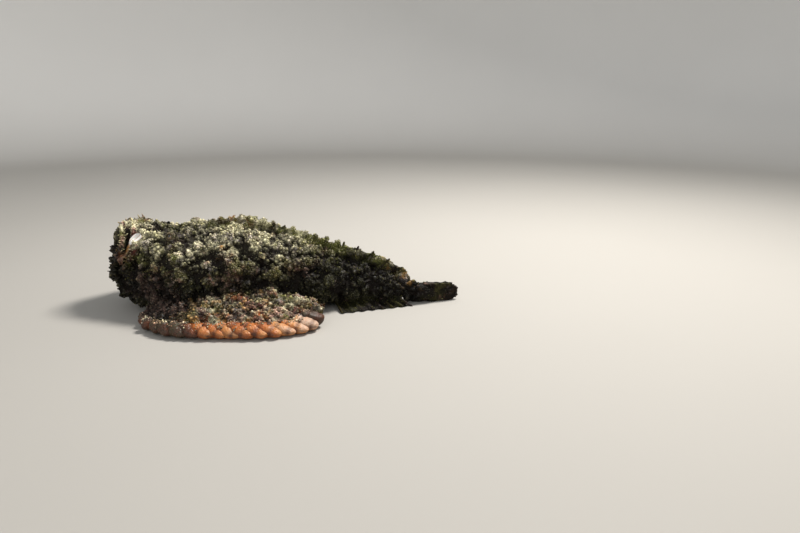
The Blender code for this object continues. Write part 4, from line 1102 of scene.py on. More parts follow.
def paint_weights(mesh):
    """Stores where the relief, the coat, the markings and the painted light and shade go, from the smooth
    skin's own places.
    """
    points = points_of(mesh)
    x, y, z = points.T
    seam = x - seam_x(y, z)
    off_floor = ease(z, 0.0006, 0.0035)
    eyes = np.full(len(points), 1.0)
    pale = np.full(len(points), 1.0)
    over_pale = np.zeros(len(points))
    for _, side in SIDES:
        eyes = np.minimum(eyes, np.linalg.norm(points - np.array(eye_place(side)), axis=1))
        pale = np.minimum(pale, membrane_distance(points, side))
        top = np.array(membrane_line(side)[1])
        over_pale = np.maximum(over_pale, bell(np.linalg.norm(points - top, axis=1), 0.011))
    on_thin = share_on(points, *THIN_FINS)
    on_fan = share_on(points, "pectoral_fin_left", "pectoral_fin_right")
    on_spines = share_on(points, "dorsal_fin_spiny")
    on_soft = share_on(points, "dorsal_fin_soft")
    along, out = fan_shares(points, on_fan)
    ray = np.cos(2 * np.pi * (FAN_RAYS - 1) * along)
    ray_lift = on_fan * ease(out, 0.12, 0.35) * ray * FAN_RAY_HEIGHT
    for name, rays, root_a, root_b, tip_a, tip_b, bow in RAY_FINS:
        on_this = distance_to(points, (name,)) < 0.0015
        a, r = share_on_fan(points, on_this, ray_samples((root_a, root_b), (tip_a, tip_b), bow, rays))
        ray_lift += on_this * ease(r, 0.1, 0.4) * np.cos(2 * np.pi * (rays - 1) * a) * THIN_RAY_HEIGHT

    at_lips = ease(z, 0.034, 0.046) * (np.abs(y) < 0.045)
    corner = bell(pale, 0.0045) * ease(z, 0.050, 0.070)
    groove = bell(seam, 0.0019 + 0.0016 * corner) * at_lips
    lips = bell(np.abs(seam) - 0.0050 - 0.0010 * corner, 0.0024) * at_lips
    lip_band = (1 - ease(np.abs(seam), 0.0068, 0.0092)) * at_lips
    at_eye = ease(eyes, EYE_RADIUS - 0.0002, EYE_RADIUS + 0.0006)
    at_pale = ease(pale, 0.0003, 0.0012)
    low = ease(z, 0.0008, 0.0028)
    rim = on_fan * ease(out, 0.76, 0.88) * (1 - ease(along, 0.84, 0.90))
    pits = patch_field(points, PIT_PLACES, 5.0)
    # Pleats 5 mm apart round the lips, which lie 33 mm from a middle 36 mm up.
    pleat = np.sin(2 * np.pi * np.arctan2(y, z - 0.036) * 0.033 / 0.0050)
    crown = bell(x + 0.100, 0.015) * ease(z, 0.060, 0.075)
    snout = bell(x + 0.145, 0.016) * ease(z, 0.060, 0.074)
    chin = ease(-x, 0.118, 0.140) * (1 - ease(z, 0.012, 0.040))
    raised = over_pale * (PALE_BORDER * ease(pale, -0.0004, 0.0020) - 0.0006)
    raised += HUMP_HEIGHT * bell(x + 0.036, 0.016) * ease(z, 0.070, 0.080)
    # The lips and the groove end at the pale skin.
    level = 1 - np.minimum(2.0 * over_pale, 1) * (1 - ease(pale, 0.0, 0.0015))
    lowered = CROWN_DIP * crown + SNOUT_DIP * snout
    grooved = GROOVE_DEPTH * groove * (1 - 1.25 * over_pale)
    store(mesh, "extra", (LIP_HEIGHT + LIP_PLEAT * pleat) * lips * level - grooved + ray_lift * off_floor
          - RIM_SINK * rim - PIT_DEPTH * pits - lowered * (1 - over_pale) - CHIN_TUCK * chin + raised)
    smooth_pale = ease(pale, 0.0, 0.0022)
    at_eyes = 0.2 + 0.8 * ease(eyes, 0.006, 0.011)
    at_fins = (1 - 0.85 * np.clip(on_thin - 0.5 * on_soft, 0, 1)) * (1 - 0.55 * on_fan)
    at_fins *= 1 - 0.55 * on_spines
    store(mesh, "relief", off_floor * at_eyes * (1 - 0.88 * lip_band) * smooth_pale * at_fins)
    green = patch_field(points, GREEN_PLACES, 3.0)
    back_edge = on_spines + on_soft
    bare_lip = lip_band * (1 - over_pale)
    beads = (low * at_eye * at_pale * (1 - 0.75 * np.clip(on_thin - on_soft, 0, 1)) * (1 - 0.93 * bare_lip)
             * (1 - 0.97 * rim))
    store(mesh, "beads", beads * (1 - 0.55 * on_fan))
    warts = beads * ease(eyes, EYE_RADIUS + 0.0010, EYE_RADIUS + 0.0025) * ease(pale, 0.0010, 0.0030)
    warts *= (1 - lip_band) * (1 - np.clip(on_thin - 0.7 * on_soft, 0, 1))
    store(mesh, "warts", warts * (1 - 0.9 * on_spines) * (1 - 0.35 * ease(x, 0.02, 0.09)))
    store(mesh, "lips", lips * at_pale * (np.abs(y) < 0.042))
    store(mesh, "tags", low * at_eye * at_pale * (1 - 0.8 * rim)
          * np.clip(0.12 + 0.6 * on_spines + 0.1 * lips + 0.25 * on_fan * ease(out, 0.2, 0.7)
                    + 0.2 * ease(-x, 0.05, 0.12), 0, 1))
    store(mesh, "weed", low * at_eye * at_pale * (1 - 0.7 * rim) * (1 - 0.7 * lip_band)
          * np.clip(0.08 + 0.9 * green + 0.7 * np.clip(back_edge, 0, 1) - 0.2 * on_fan, 0, 1))
    rear = ease(x, 0.0, 0.06)
    # Painted shade low down, on the lower rear flank and on the front of the fans in the head's shadow;
    # painted light on the upper head and body and on the soft dorsal fin.
    under = (1 - ease(z, 0.020, 0.052)) * (1 - on_fan)
    painted_rear_shade = ease(x, 0.0, 0.07) * (0.55 + 0.45 * (1 - ease(z, 0.03, 0.06)))
    fan_painted_light = on_fan * (0.66 * ease(along, 0.30, 0.50) - 0.45)
    painted_top_light = 0.32 * ease(z, 0.045, 0.064) * (1 - ease(x, 0.03, 0.09))
    light = (patch_field(points, PAINTED_LIGHT_PLACES, 1.0) + painted_top_light - 1.35 * painted_rear_shade * (1 - on_fan) - 0.85 * under
             + fan_painted_light - 0.15 * lip_band + 0.45 * on_soft * ease(z, 0.012, 0.030))
    store(mesh, "light", light)
    store(mesh, "warm", patch_field(points, WARM_PLACES, 2.0) + 0.20 * on_fan - 0.2 * rear * (1 - on_fan))
    store(mesh, "green", green + 0.25 * np.clip(back_edge, 0, 1))
    store(mesh, "pink", patch_field(points, PINK_PLACES, 4.0) + 0.25 * lip_band + 0.12 * on_fan)
    store(mesh, "rim", 0.8 * rim * ease(out, 0.84, 0.97))


def add_mound(mesh, centre, axis):
    """The ring of flesh that an eye looks out of."""
    along = axis.orthogonal().normalized()
    across = axis.cross(along)
    around, section = 24, 10
    rows = []
    for i in range(around):
        a = 2 * math.pi * i / around
        out = along * math.cos(a) + across * math.sin(a)
        row = []
        for k in range(section):
            b = 2 * math.pi * k / section
            place = centre + out * (EYE_RADIUS * 1.36 + 0.0023 * math.cos(b)) + axis * 0.0021 * math.sin(b)
            row.append(mesh.verts.new(place))
        rows.append(row)
    for i in range(around):
        row, after = rows[i], rows[(i + 1) % around]
        for k in range(section):
            n = (k + 1) % section
            mesh.faces.new((row[k], after[k], after[n], row[n]))


def add_skin():
    """One skin over every node of flesh, with the relief of the solids and its own finer relief."""
    whole = bmesh.new()
    for name in FLESH:
        whole.from_mesh(frame["nodes"][name].data)
    bmesh.ops.remove_doubles(whole, verts=whole.verts, dist=1e-6)
    for _, side in SIDES:
        add_mound(whole, eye_place(side) + eye_axis(side) * EYE_RADIUS * 0.50, eye_axis(side))
    for place, radii in JOINING_FLESH:
        stretch = Matrix.Translation(place) @ Matrix.Diagonal((*radii, 1.0))
        bmesh.ops.create_icosphere(whole, subdivisions=2, radius=1.0, matrix=stretch)
    skin = link("skin", whole)
    settings = bpy.context.scene.stonefish_skin
    remesh = skin.modifiers.new("one skin", "REMESH")
    remesh.mode = "VOXEL"
    remesh.voxel_size = settings.voxel
    settle(skin)
    shape = bmesh.new()
    shape.from_mesh(skin.data)
    bmesh.ops.triangulate(shape, faces=[f for f in shape.faces if len(f.verts) > 4])
    for _ in range(5):
        bmesh.ops.smooth_vert(shape, verts=shape.verts, factor=0.5, use_axis_x=True, use_axis_y=True,
                              use_axis_z=True)
    tail_low, tail_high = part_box("caudal_fin")
    half = (tail_high[0] - tail_low[0]) / 2
    for vert in shape.verts:
        vert.co.z = max(vert.co.z, 0.0)
        beyond = vert.co.x - tail_low[0] - half
        if beyond > 0:
            height = (vert.co.z - tail_low[2]) / (tail_high[2] - tail_low[2])
            vert.co.x -= beyond * 2 * TAIL_ROUNDING * min(1.0, abs(2 * height - 1)) ** 3
    shape.to_mesh(skin.data)
    shape.free()
    bpy.context.view_layer.objects.active = skin
    skin.select_set(True)
    skin.data.uv_layers.new(name="OFBake")
    bpy.ops.object.mode_set(mode="EDIT")
    bpy.ops.mesh.select_all(action="SELECT")
    bpy.ops.uv.smart_project(angle_limit=math.radians(75), island_margin=0.001)
    bpy.ops.object.mode_set(mode="OBJECT")
    skin.select_set(False)
    paint_weights(skin.data)
    values = {
        "Lump Height": settings.lump_height,
        "Knob Height": settings.knob_height,
        "Knob Spacing": settings.knob_spacing,
        "Fold Depth": settings.fold_depth,
    }
    grown = grow("warty_skin", relief_tree(), skin.data, values)
    bpy.data.objects.remove(skin)
    points = points_of(grown.data)
    settled = 0.0026 * (1 - ease(points[:, 2], 0.0022, 0.0070)) * ease(points[:, 0], 0.08, 0.11)
    points[:, 2] = np.maximum(points[:, 2] - settled, 0.0)
    move_points(grown.data, points)
    grown.data.shade_smooth()
    return grown


def add_coat(skin, name, parts, shapes, finish, weight, spacing, sizes, tilt, tones=(0.0, 1.0), lean=0.0):
    """Scatters shapes over the skin as one or more joined pieces."""
    group = collect(f"{name} shapes", shapes)
    tree = bpy.data.node_groups.get("Coat") or coat_tree()
    made = []
    for part in range(parts):
        values = {
            "Spacing": spacing, "Least Size": sizes[0], "Greatest Size": sizes[1], "Tilt": tilt,
            "Lean Back": lean, "Least Tone": tones[0], "Greatest Tone": tones[1], "Weight": weight,
            "Shapes": group, "Finish": finish, "Parts": parts, "Part": part,
            "Seed": bpy.context.scene.stonefish_coat.seed + sum(map(ord, name)),
        }
        piece = grow(f"{name}_{part + 1}" if parts > 1 else name, tree, skin.data, values)
        points = points_of(piece.data)
        if not len(points):
            raise RuntimeError(f"{name} has no shapes")
        points[:, 2] = np.maximum(points[:, 2], 0.0)
        move_points(piece.data, points)
        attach(piece, "root")
        made.append(piece)
    clear_collection(group)
    return made


def rim_places():
    """The share along the fan of each lobe, so that they stand evenly along the rim."""
    shares = [RIM_END * i / 400 for i in range(401)]
    edge = [fan_point(a, 0.92) for a in shares]
    run = [0.0]
    for place, after in zip(edge, edge[1:]):
        run.append(run[-1] + (after - place).length)
    return [float(np.interp(run[-1] * i / (RIM_LOBES - 1), run, shares)) for i in range(RIM_LOBES)]


def rim_lobe(mesh, marks, a, room, side):
    """One fat end of a pectoral ray: a soft strand that slants back along the rim, with faint
    furrows across it, lying on the floor."""
    steps, around = 34, 16
    swell = random.uniform(0.88, 1.10)
    drift = RIM_SLANT * float(ease(a, 0.05, 0.35)) * (1 - 0.6 * float(ease(a, 0.75, 1.0)))
    front = 1 - float(ease(a, 0.0, 0.20))
    low = (1 - 0.45 * front) * (1 - 0.35 * float(ease(a, 0.82, 0.90)))
    path = []
    for j in range(steps + 1):
        t = j / steps
        inner = RIM_START + 0.07 * float(ease(a, 0.50, 0.75))
        point = fan_point(a, inner + (0.99 - inner) * t)
        point.x += drift * (t**1.6 - 0.4)
        point.z = point.z * (1 - t) + max(0.0040, fan_point(a, 1.0).z) * t + 0.0010 * math.sin(math.pi * t)
        path.append(point)
    tone = random.random()
    # The front lobes are darkened as painted shadow of the head; the middle ones are orange, the rear ones
    # paler and the last ones dark olive.
    hue = -0.20 + 0.52 * float(ease(a, 0.34, 0.46)) + 0.24 * float(ease(a, 0.62, 0.80))
    hue += 0.22 * (tone - 0.5) - 0.82 * float(ease(a, 0.84, 0.90))
    rings = []
    for j, point in enumerate(path):
        t = j / steps
        ahead = (path[min(j + 1, steps)] - path[max(j - 1, 0)]).normalized()
        across = ahead.cross(Vector((0, 0, 1))).normalized()
        over = across.cross(ahead)
        body = 0.0036 + 0.0013 * float(ease(t, 0.0, 0.45))
        wide = room * (0.58 + 0.10 * t) / (body * low)
        end = math.sqrt(max(0.0, 1 - max(0.0, (t - 0.60) / 0.40) ** 2))
        start = math.sqrt(min(1.0, 0.05 + t / 0.20))
        furrow = 0.5 - 0.5 * math.cos(2 * math.pi * (t * 2.6 + tone))
        pinch = (1 - furrow) ** 4
        radius = max(0.0001, swell * low * body * end * start * (1 - 0.09 * pinch))
        ring = []
        for k in range(around):
            b = 2 * math.pi * k / around
            spot = point * 260 + Vector((math.cos(b), math.sin(b), tone * 9))
            bulge = 1 + 0.12 * noise.noise(spot) + 0.05 * noise.noise(spot * 3.1)
            place = point + (across * math.cos(b) * wide + over * math.sin(b) * 0.95) * radius * bulge
            if math.sin(b) < 0:
                place.z = min(place.z, point.z * (1 + math.sin(b) * end * start))
            place.z = max(place.z, 0.0)
            place.y *= -side
            ring.append(mesh.verts.new(place))
            top = max(0.0, math.sin(b)) * (1 - float(ease(t, 0.25 + 0.5 * front, 0.60 + 0.5 * front)))
            # Painted shade in the furrows and along the lobe's sides, and painted light on its top.
            crease_shade = 0.55 * pinch + 0.5 * (1 - abs(math.sin(b))) ** 2
            shade = hue + 0.30 * (t - 0.7) + 0.12 * math.sin(b)
            marks.append((shade, crease_shade, top, 0.05 + 0.9 * a + 0.04 * k / around, 0.05 + 0.9 * t))
        rings.append(ring)
    bridge(mesh, rings)
    mesh.faces.new(rings[0])
    mesh.faces.new(rings[-1])


def membrane_lie(tree, side, steps):
    """How far out the skin lies on the way up the pale skin's line, and its slope across the line.
    Averaged over 11 rows, so that the sheet lies evenly in its recess."""
    low, along, outward, rearward = membrane_frame(side)
    lies = []
    for j in range(steps + 1):
        t = j / steps
        shift, half = membrane_shape(t)
        row = []
        for u in (-0.6, 0.0, 0.6):
            point = low + along * t + rearward * float(shift + u * half)
            met = tree.ray_cast(point + outward * 0.02, -outward)[0]
            row.append(-0.008 if met is None else (met - point).dot(outward))
        lies.append((np.median(row), np.clip((row[2] - row[0]) / 1.2, -0.0012, 0.0012)))
    padded = np.pad(np.array(lies), ((5, 5), (0, 0)), mode="edge")
    return sum(padded[i : i + steps + 1] for i in range(11)) / 11


def press_down(skin, side, lies):
    """Presses the knobs that stand up under the pale skin down to where it lies."""
    low, along, outward, rearward = (np.array(part) for part in membrane_frame(side))
    points = points_of(skin)
    share = (points - low) @ along / (along @ along)
    shift, half = membrane_shape(share)
    across = ((points - low) @ rearward - shift) / half
    places = np.linspace(0, 1, len(lies))
    level = np.interp(share, places, lies[:, 0]) + np.interp(share, places, lies[:, 1]) * across
    height = (points - low) @ outward
    under = (np.abs(share - 0.48) < 0.48) & (np.abs(across) < 0.85) & (np.abs(height) < 0.01)
    points -= (under * np.maximum(height - level - 0.0001, 0))[:, None] * outward
    move_points(skin, points)


def add_ray(mesh, crease_shades, tree, root, tip, look):
    """One jointed ray of a thin fin, laid along the middle of the fin's own solid."""
    steps, around = 26, 8
    path = []
    for j in range(steps + 1):
        t = 0.12 + 0.94 * j / steps
        place = root.lerp(tip, min(t, 0.985))
        near = tree.ray_cast(place - look * 0.05, look)[0]
        far = tree.ray_cast(place + look * 0.05, -look)[0]
        if near is not None and far is not None and (far - near).length < 0.008:
            path.append(((near + far) / 2, (far - near).length / 2))
    if len(path) < 6:
        return
    ahead = (path[-1][0] - path[-4][0]).normalized()
    for narrowed in (0.80, 0.55, 0.20):
        path.append((path[-1][0] + ahead * 0.0005, path[-1][1] * narrowed))
    rings = []
    for j, (point, half) in enumerate(path):
        back, front = path[max(0, j - 1)][0], path[min(j + 1, len(path) - 1)][0]
        ahead = (front - back).normalized()
        across = ahead.cross(look).normalized()
        over = across.cross(ahead)
        joint = 0.5 - 0.5 * math.cos(2 * math.pi * j / 3.4)
        radius = (half * 1.06 + 0.00025) * (1 - 0.10 * (1 - joint) ** 3)
        ring = []
        for k in range(around):
            b = 2 * math.pi * k / around
            place = point + across * math.cos(b) * min(radius, 0.0010) + over * math.sin(b) * radius
            place.z = max(place.z, 0.0)
            ring.append(mesh.verts.new(place))
            # Painted shade in the creases between the joints.
            crease_shades.append(0.15 + 0.35 * (1 - joint) ** 2)
        rings.append(ring)
    bridge(mesh, rings)
    mesh.faces.new(rings[0])
    mesh.faces.new(rings[-1])


def eye_turn(side):
    """Turns a shape built round Z at the origin into an eye's place, looking out along its axis."""
    axis = eye_axis(side)
    across = axis.cross(Vector((1, 0, 0))).normalized()
    turn = Matrix((across.cross(axis), across, axis)).transposed().to_4x4()
    return Matrix.Translation(eye_place(side)) @ turn


def add_globe(name, side, finish):
    """One eyeball, with a cornea that bulges over its pupil."""
    mesh = bmesh.new()
    bmesh.ops.create_uvsphere(mesh, u_segments=40, v_segments=28, radius=EYE_RADIUS)
    outs = [math.acos(max(-1.0, min(1.0, v.co.z / EYE_RADIUS))) / (math.pi / 2) for v in mesh.verts]
    for vert in mesh.verts:
        vert.co.z += 0.07 * EYE_RADIUS * math.exp(-(((vert.co.xy.length) / (0.55 * EYE_RADIUS)) ** 2))
    mesh.transform(eye_turn(side))
    bmesh.ops.recalc_face_normals(mesh, faces=mesh.faces)
    globe = link(f"eyeball_{name}", mesh)
    store(globe.data, "out", outs)
    globe.data.shade_smooth()
    globe.data.materials.append(finish)
    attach(globe, "root")
    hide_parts(f"eye_{name}")


def add_lid(name, side, finish):
    """The fleshy lid round one eye: a crinkled ring with an oval opening, set with small grains."""
    turn = eye_turn(side)
    axis = eye_axis(side)
    lid = bmesh.new()
    rings, tips, grains, spots = [], [], [], []
    steps, around = 12, 72
    for j in range(steps + 1):
        t = j / steps
        ring = []
        for k in range(around):
            b = 2 * math.pi * k / around
            spot = Vector((2.4 * math.cos(b), 2.4 * math.sin(b), 3.0 * t + 5 * side))
            crinkle = 0.00050 * noise.noise(spot) + 0.00034 * noise.noise(spot * 2.6)
            crinkle += 0.00022 * noise.noise(spot * 6.1)
            brow = 0.0006 * max(0.0, -math.sin(b))
            pleat = 0.00010 * math.sin(17 * b + 3 * math.sin(3 * b)) * (1 - t)
            out = EYE_RADIUS * (0.66 + 0.66 * t) - brow * (1 - t)
            oval = 1 - 0.26 * (1 - t)
            rise = EYE_RADIUS * (0.84 - 0.42 * t**2) + 0.0006 * math.sin(math.pi * min(1, t * 1.5)) + crinkle
            rise += pleat + 0.0007 * (1 - t) * (1 - abs(math.cos(b))) * (1 - oval) / 0.26
            place = Vector((out * math.cos(b), out * math.sin(b) * oval, rise))
            ring.append(lid.verts.new(turn @ place))
            # Painted shade and highlight on the lid: darker where its crinkles dip, lighter where they rise
            # and midway across it.
            tips.append(0.42 + 0.5 * t * (1 - t) + 700 * (crinkle + pleat))
            grains.append(ease(t, 0.10, 0.26))
            spots.append((0.5 + 0.4 * (0.3 + t) * math.cos(b), 0.5 + 0.4 * (0.3 + t) * math.sin(b)))
        rings.append(ring)
    bridge(lid, rings)
    lid.normal_update()
    if sum(face.normal.dot(axis) for face in lid.faces) < 0:
        bmesh.ops.reverse_faces(lid, faces=lid.faces)
    shell = link(f"eyelid_{name}", lid)
    store(shell.data, "tip", tips)
    store(shell.data, "grains", grains)
    for label, level in (("tone", 0.45), ("light", LID_PAINTED_SHADE), ("pink", 0.35), ("crest", 0.4)):
        store(shell.data, label, [level] * len(tips))
    patch = shell.data.uv_layers.new(name="OFBake").uv
    for loop in shell.data.loops:
        patch[loop.index].vector = spots[loop.vertex_index]
    low = (0.0, 0.45, 0.80)
    shapes = [nub(f"lid_grain_{i}", 6, low, 0.7 + 0.2 * i, 0.25 * i, 0.13) for i in range(3)]
    add_coat(shell, f"lid_grains_{name}", 1, shapes, finish, "grains", 0.0009, (0.0005, 0.0009), 0.25,
             (0.0, 0.9))
    wall = shell.modifiers.new("wall", "SOLIDIFY")
    wall.thickness = LID_THICKNESS
    wall.offset = -1
    settle(shell)
    shell.data.shade_smooth()
    shell.data.materials.append(finish)
    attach(shell, "root")


def add_floor(scene):
    """A round pale floor that curves up into a wall far behind the fish, the same on every side."""
    mesh = bmesh.new()
    profile = [(0.001, 0.0), (0.4 * FLOOR_REACH, 0.0), (FLOOR_REACH, 0.0)]
    for k in range(1, 13):
        a = math.pi / 2 * k / 12
        profile.append((FLOOR_REACH + COVE * math.sin(a), COVE - COVE * math.cos(a)))
    profile.append((FLOOR_REACH + COVE, WALL_TOP))
    around = 96
    rows = []
    for reach, z in profile:
        angles = [2 * math.pi * k / around for k in range(around)]
        rows.append([mesh.verts.new((reach * math.cos(a), reach * math.sin(a), z)) for a in angles])
    bridge(mesh, rows)
    mesh.faces.new(rows[0])
    bmesh.ops.recalc_face_normals(mesh, faces=mesh.faces)
    bmesh.ops.reverse_faces(mesh, faces=mesh.faces)
    floor = link("floor", mesh)
    floor.data.shade_smooth()
    floor.data.materials.append(stage_material("Matt board", list(scene.stonefish_colour.floor), 0.8))


def add_lights(scene):
    """Two soft lights aimed at the fish's back, and a pale sky all round."""
    for name, place, size, strength, tint in LIGHTS:
        lamp = bpy.data.lights.new(name, "AREA")
        lamp.size = size
        lamp.energy = strength
        lamp.color = tint
        obj = bpy.data.objects.new(name, lamp)
        obj.location = place
        obj.rotation_euler = (Vector(AIM) - Vector(place)).to_track_quat("-Z", "Y").to_euler()
        scene.collection.objects.link(obj)
    world = bpy.data.worlds.new("Studio")
    world.use_nodes = True
    sky = world.node_tree.nodes["Background"]
    sky.inputs["Color"].default_value = linear("E6E8EA")
    sky.inputs["Strength"].default_value = SKY_STRENGTH
    scene.world = world
    scene.view_settings.view_transform = "Standard"


def add_camera(scene):
    """The camera, level from side to side and tilted down as the photo's."""
    camera = bpy.data.cameras.new("camera")
    camera.lens = LENS
    camera.sensor_width = SENSOR
    camera.clip_start = 0.01
    holder = bpy.data.objects.new("camera", camera)
    holder.location = CAMERA_PLACE
    holder.rotation_euler = (math.radians(90 - CAMERA_TILT), 0, 0)
    scene.collection.objects.link(holder)
    scene.camera = holder


class STONEFISH_OT_skin(bpy.types.Operator):
    """Builds the one warty skin over the body and the fins"""

    bl_idname = "stonefish.skin"
    bl_label = "Skin"

    def execute(self, context):
        skin = add_skin()
        skin.data.materials.clear()
        colours = context.scene.stonefish_colour
        skin.data.materials.append(skin_material(markings_and_light_group(colours.cream, colours.rim)))
        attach(skin, "root")
        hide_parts(*FLESH)
        return {"FINISHED"}


class STONEFISH_OT_coat(bpy.types.Operator):
    """Scatters granules, warts, skin tags, lip fringe and weed over the skin"""

    bl_idname = "stonefish.coat"
    bl_label = "Coat"

    def execute(self, context):
        skin = bpy.data.objects["warty_skin"]
        settings = context.scene.stonefish_coat
        random.seed(settings.seed)
        finish = wart_material(bpy.data.node_groups["Reef markings and painted light"])
        weed = weed_material()
        low = (0.0, 0.50, 0.82)
        grains = [nub(f"grain_{i}", 6, low, 0.62 + 0.11 * i, 0.11 * i, 0.12) for i in range(4)]
        add_coat(skin, "granules", 4, grains, finish, "beads", settings.fine_spacing, (0.00070, 0.00115),
                 0.25,
                 (0.0, 0.60))
        mid = (0.0, 0.38, 0.64, 0.87)
        beads = [nub(f"bead_{i}", 8, mid, 0.66 + 0.11 * i, 0.12 * i, 0.12) for i in range(4)]
        add_coat(skin, "beads", 2, beads, finish, "warts", settings.bead_spacing, (0.0010, 0.0024), 0.25,
                 (0.10, 1.0))
        high = (0.0, 0.30, 0.48, 0.66, 0.82, 0.94)
        warts = [nub(f"wart_{i}", 12, high, 0.66 + 0.12 * i, 0.16 * i, 0.07) for i in range(4)]
        add_coat(skin, "warts", 1, warts, finish, "warts", settings.wart_spacing, (0.0016, 0.0027), 0.15,
                 (0.30, 1.0))
        tags = [tag(f"tag_{i}", 6, 5, 1.4 + 0.4 * i, 0.30, 0.5) for i in range(3)]
        add_coat(skin, "skin_tags", 1, tags, finish, "tags", 0.0036, (0.0005, 0.0009), 0.45,
                 (0.1, 1.0), 0.4)
        fringe = [tag(f"fringe_{i}", 7, 6, 2.6 + 0.8 * i, 0.25, 0.4) for i in range(3)]
        add_coat(skin, "lip_fringe", 1, fringe, finish, "lips", 0.0023, (0.0005, 0.00090), 0.30,
                 (0.2, 1.0))
        tufts = [tuft(f"tuft_{i}", 6, 1.4 + 0.3 * i, 1.2) for i in range(4)]
        add_coat(skin, "weed", 3, tufts, weed, "weed", 0.0013, (0.0005, 0.0011), 0.6, lean=0.3)
        return {"FINISHED"}


class STONEFISH_OT_rims(bpy.types.Operator):
    """Builds the fat furrowed ends of the pectoral rays"""

    bl_idname = "stonefish.rims"
    bl_label = "Pectoral Rims"

    def execute(self, context):
        random.seed(5)
        finish = rim_material()
        for name, side in SIDES:
            mesh = bmesh.new()
            marks = []
            shares = rim_places()
            for a, after in zip(shares, shares[1:] + [2 * shares[-1] - shares[-2]]):
                room = (fan_point(a, 0.92) - fan_point(after, 0.92)).length
                rim_lobe(mesh, marks, a, room, side)
            bmesh.ops.recalc_face_normals(mesh, faces=mesh.faces)
            rim = link(f"pectoral_rim_{name}", mesh)
            marks = np.array(marks)
            store(rim.data, "tone", marks[:, 0])
            store(rim.data, "hollow", marks[:, 1])
            store(rim.data, "grains", marks[:, 2])
            for label, level in (("light", 0.25), ("warm", 0.45), ("pink", 0.50), ("crest", 0.5)):
                store(rim.data, label, np.full(len(marks), level))
            spots = rim.data.uv_layers.new(name="OFBake").uv
            for loop in rim.data.loops:
                spots[loop.index].vector = marks[loop.vertex_index, 3:5]
            rim.data.shade_smooth()
            rim.data.materials.append(finish)
            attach(rim, "root")
            mid = (0.0, 0.38, 0.64, 0.87)
            grains = [nub(f"rim_grain_{i}", 7, mid, 0.6 + 0.15 * i, 0.15 * i, 0.13) for i in range(3)]
            add_coat(rim, f"rim_grains_{name}", 1, grains, bpy.data.materials["Wart skin"], "grains", 0.0016,
                     (0.0007, 0.0015), 0.25, (0.1, 1.0))
        return {"FINISHED"}


class STONEFISH_OT_rays(bpy.types.Operator):
    """Builds the rays of the thin fins, which stand out on both faces and past the edge"""

    bl_idname = "stonefish.rays"
    bl_label = "Fin Rays"

    def execute(self, context):
        finish = bpy.data.materials["Warty fish skin"]
        for name, rays, root_a, root_b, tip_a, tip_b, bow in RAY_FINS:
            tree = solid_tree(name)
            flat = name.startswith(("anal", "pelvic"))
            look = Vector((0, 0, 1)) if flat else Vector((0, 1, 0))
            mesh = bmesh.new()
            crease_shades = []
            for i in range(rays):
                a = i / (rays - 1)
                root = Vector(root_a).lerp(Vector(root_b), a)
                tip = Vector(tip_a).lerp(Vector(tip_b), a) + Vector((0, 0, 4 * bow * a * (1 - a)))
                if flat:
                    tip = root.lerp(tip, 0.93)
                if name == "caudal_fin":
                    tip = root.lerp(tip, 1 - TAIL_ROUNDING * abs(2 * a - 1) ** 3)
                add_ray(mesh, crease_shades, tree, root, tip, look)
            if not mesh.faces:
                raise RuntimeError(f"no ray of {name} met its fin")
            bmesh.ops.recalc_face_normals(mesh, faces=mesh.faces)
            piece = link(f"{name}_rays", mesh)
            # Painted shade in the joints, and a low painted light level that darkens the rays.
            store(piece.data, "hollow", crease_shades)
            store(piece.data, "light", [-0.3] * len(crease_shades))
            piece.data.shade_smooth()
            piece.data.materials.append(finish)
            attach(piece, "root")
        return {"FINISHED"}


class STONEFISH_OT_mouth(bpy.types.Operator):
    """Builds the folded pale skin in the corners of the mouth"""

    bl_idname = "stonefish.mouth"
    bl_label = "Mouth"

    def execute(self, context):
        finish = membrane_material()
        steps, columns = 48, 22
        skin = bpy.data.objects["warty_skin"]
        tree = BVHTree.FromObject(skin, context.evaluated_depsgraph_get())
        for name, side in SIDES:
            low, along, outward, rearward = membrane_frame(side)
            lies = membrane_lie(tree, side, steps)
            press_down(skin.data, side, lies)
            mesh = bmesh.new()
            places, crease_shades, rows = [], [], []
            for j in range(steps + 1):
                t = j / steps
                end = math.sqrt(min(1.0, 0.04 + t / 0.15) * max(0.04, 1 - max(0.0, (t - 0.90) / 0.10) ** 2))
                shift, half = (float(part) for part in membrane_shape(t))
                row = []
                for k in range(columns + 1):
                    u = 2 * k / columns - 1
                    wander = noise.noise(Vector((3.1 * t, 0.6 * side, 1.3 * u)))
                    fold = math.cos(9 * u + 4.0 * wander) + 0.9 * noise.noise(Vector((11 * t, 4 * u, side)))
                    level = lies[j][0] + lies[j][1] * u + 0.0004 + 0.0007 * (1 - u * u) + 0.00016 * fold
                    level += 0.0026 * (1 - float(ease(t, 0.60, 0.85)))
                    spread = shift + u * (half + 0.0005) * end
                    place = low + along * t + rearward * spread + outward * level
                    row.append(mesh.verts.new(place))
                    places.append(t)
                    # Painted shade in the troughs of the folds and at the sheet's edges.
                    crease_shades.append(0.55 * min(1.0, max(0.0, -fold)) ** 2 + 0.5
                                  * float(ease(abs(u), 0.72, 1.0)))
                rows.append(row)
            for row, after in zip(rows, rows[1:]):
                for k in range(columns):
                    mesh.faces.new((row[k], row[k + 1], after[k + 1], after[k]))
            piece = link(f"mouth_skin_{name}", mesh)
            store(piece.data, "along", places)
            store(piece.data, "hollow", np.clip(crease_shades, 0, 1))
            if piece.data.polygons[0].normal.dot(outward) < 0:
                piece.data.flip_normals()
            wall = piece.modifiers.new("wall", "SOLIDIFY")
            wall.thickness = PALE_THICKNESS
            wall.offset = -1
            settle(piece)
            piece.data.shade_smooth()
            piece.data.materials.append(finish)
            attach(piece, "root")
            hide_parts(f"mouth_membrane_{name}")
        return {"FINISHED"}


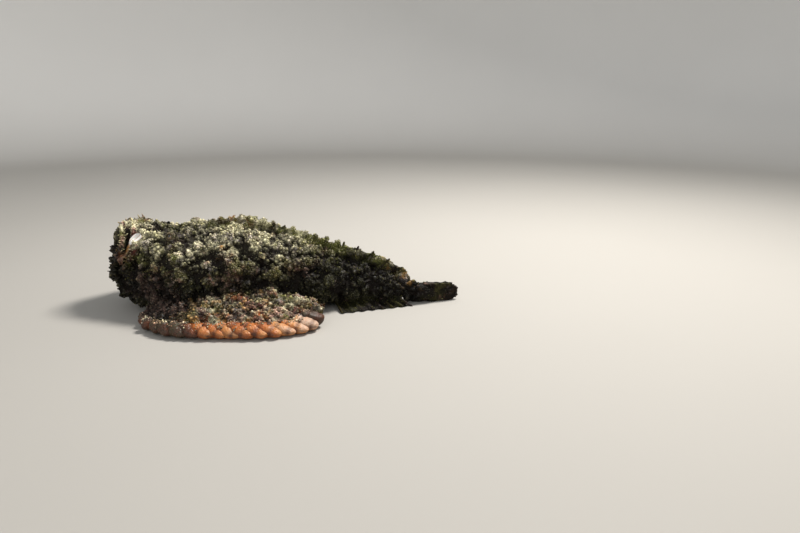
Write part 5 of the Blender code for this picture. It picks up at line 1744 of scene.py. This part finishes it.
class STONEFISH_OT_eyes(bpy.types.Operator):
    """Builds the small sunken eyes and their fleshy lids"""

    bl_idname = "stonefish.eyes"
    bl_label = "Eyes"

    def execute(self, context):
        random.seed(9)
        finish = eye_material()
        lid_finish = bpy.data.materials["Wart skin"]
        for name, side in SIDES:
            add_globe(name, side, finish)
            add_lid(name, side, lid_finish)
        return {"FINISHED"}


class STONEFISH_OT_stage(bpy.types.Operator):
    """Lays the pale floor, the soft lights and the camera"""

    bl_idname = "stonefish.stage"
    bl_label = "Stage"

    def execute(self, context):
        add_floor(context.scene)
        add_lights(context.scene)
        add_camera(context.scene)
        return {"FINISHED"}


class STONEFISH_PT_panel(bpy.types.Panel):
    bl_label = "Stonefish"
    bl_idname = "STONEFISH_PT_panel"
    bl_space_type = "VIEW_3D"
    bl_region_type = "UI"
    bl_category = "Stonefish"

    def draw(self, context):
        for group in ("stonefish_skin", "stonefish_coat", "stonefish_colour"):
            settings = getattr(context.scene, group)
            for name in settings.__annotations__:
                self.layout.prop(settings, name)
        for operator in OPERATORS:
            self.layout.operator(operator.bl_idname)


OPERATORS = (
    STONEFISH_OT_skin, STONEFISH_OT_coat, STONEFISH_OT_rims, STONEFISH_OT_rays, STONEFISH_OT_mouth,
    STONEFISH_OT_eyes, STONEFISH_OT_stage,
)
CLASSES = (SkinSettings, CoatSettings, ColourSettings, *OPERATORS, STONEFISH_PT_panel)


def register():
    for item in CLASSES:
        bpy.utils.register_class(item)
    bpy.types.Scene.stonefish_skin = bpy.props.PointerProperty(type=SkinSettings)
    bpy.types.Scene.stonefish_coat = bpy.props.PointerProperty(type=CoatSettings)
    bpy.types.Scene.stonefish_colour = bpy.props.PointerProperty(type=ColourSettings)


def unregister():
    del bpy.types.Scene.stonefish_skin
    del bpy.types.Scene.stonefish_coat
    del bpy.types.Scene.stonefish_colour
    for item in reversed(CLASSES):
        bpy.utils.unregister_class(item)


def main():
    register()
    bpy.ops.stonefish.skin()
    bpy.ops.stonefish.coat()
    bpy.ops.stonefish.rims()
    bpy.ops.stonefish.rays()
    bpy.ops.stonefish.mouth()
    bpy.ops.stonefish.eyes()
    bpy.ops.stonefish.stage()


if __name__ == "__main__":
    main()
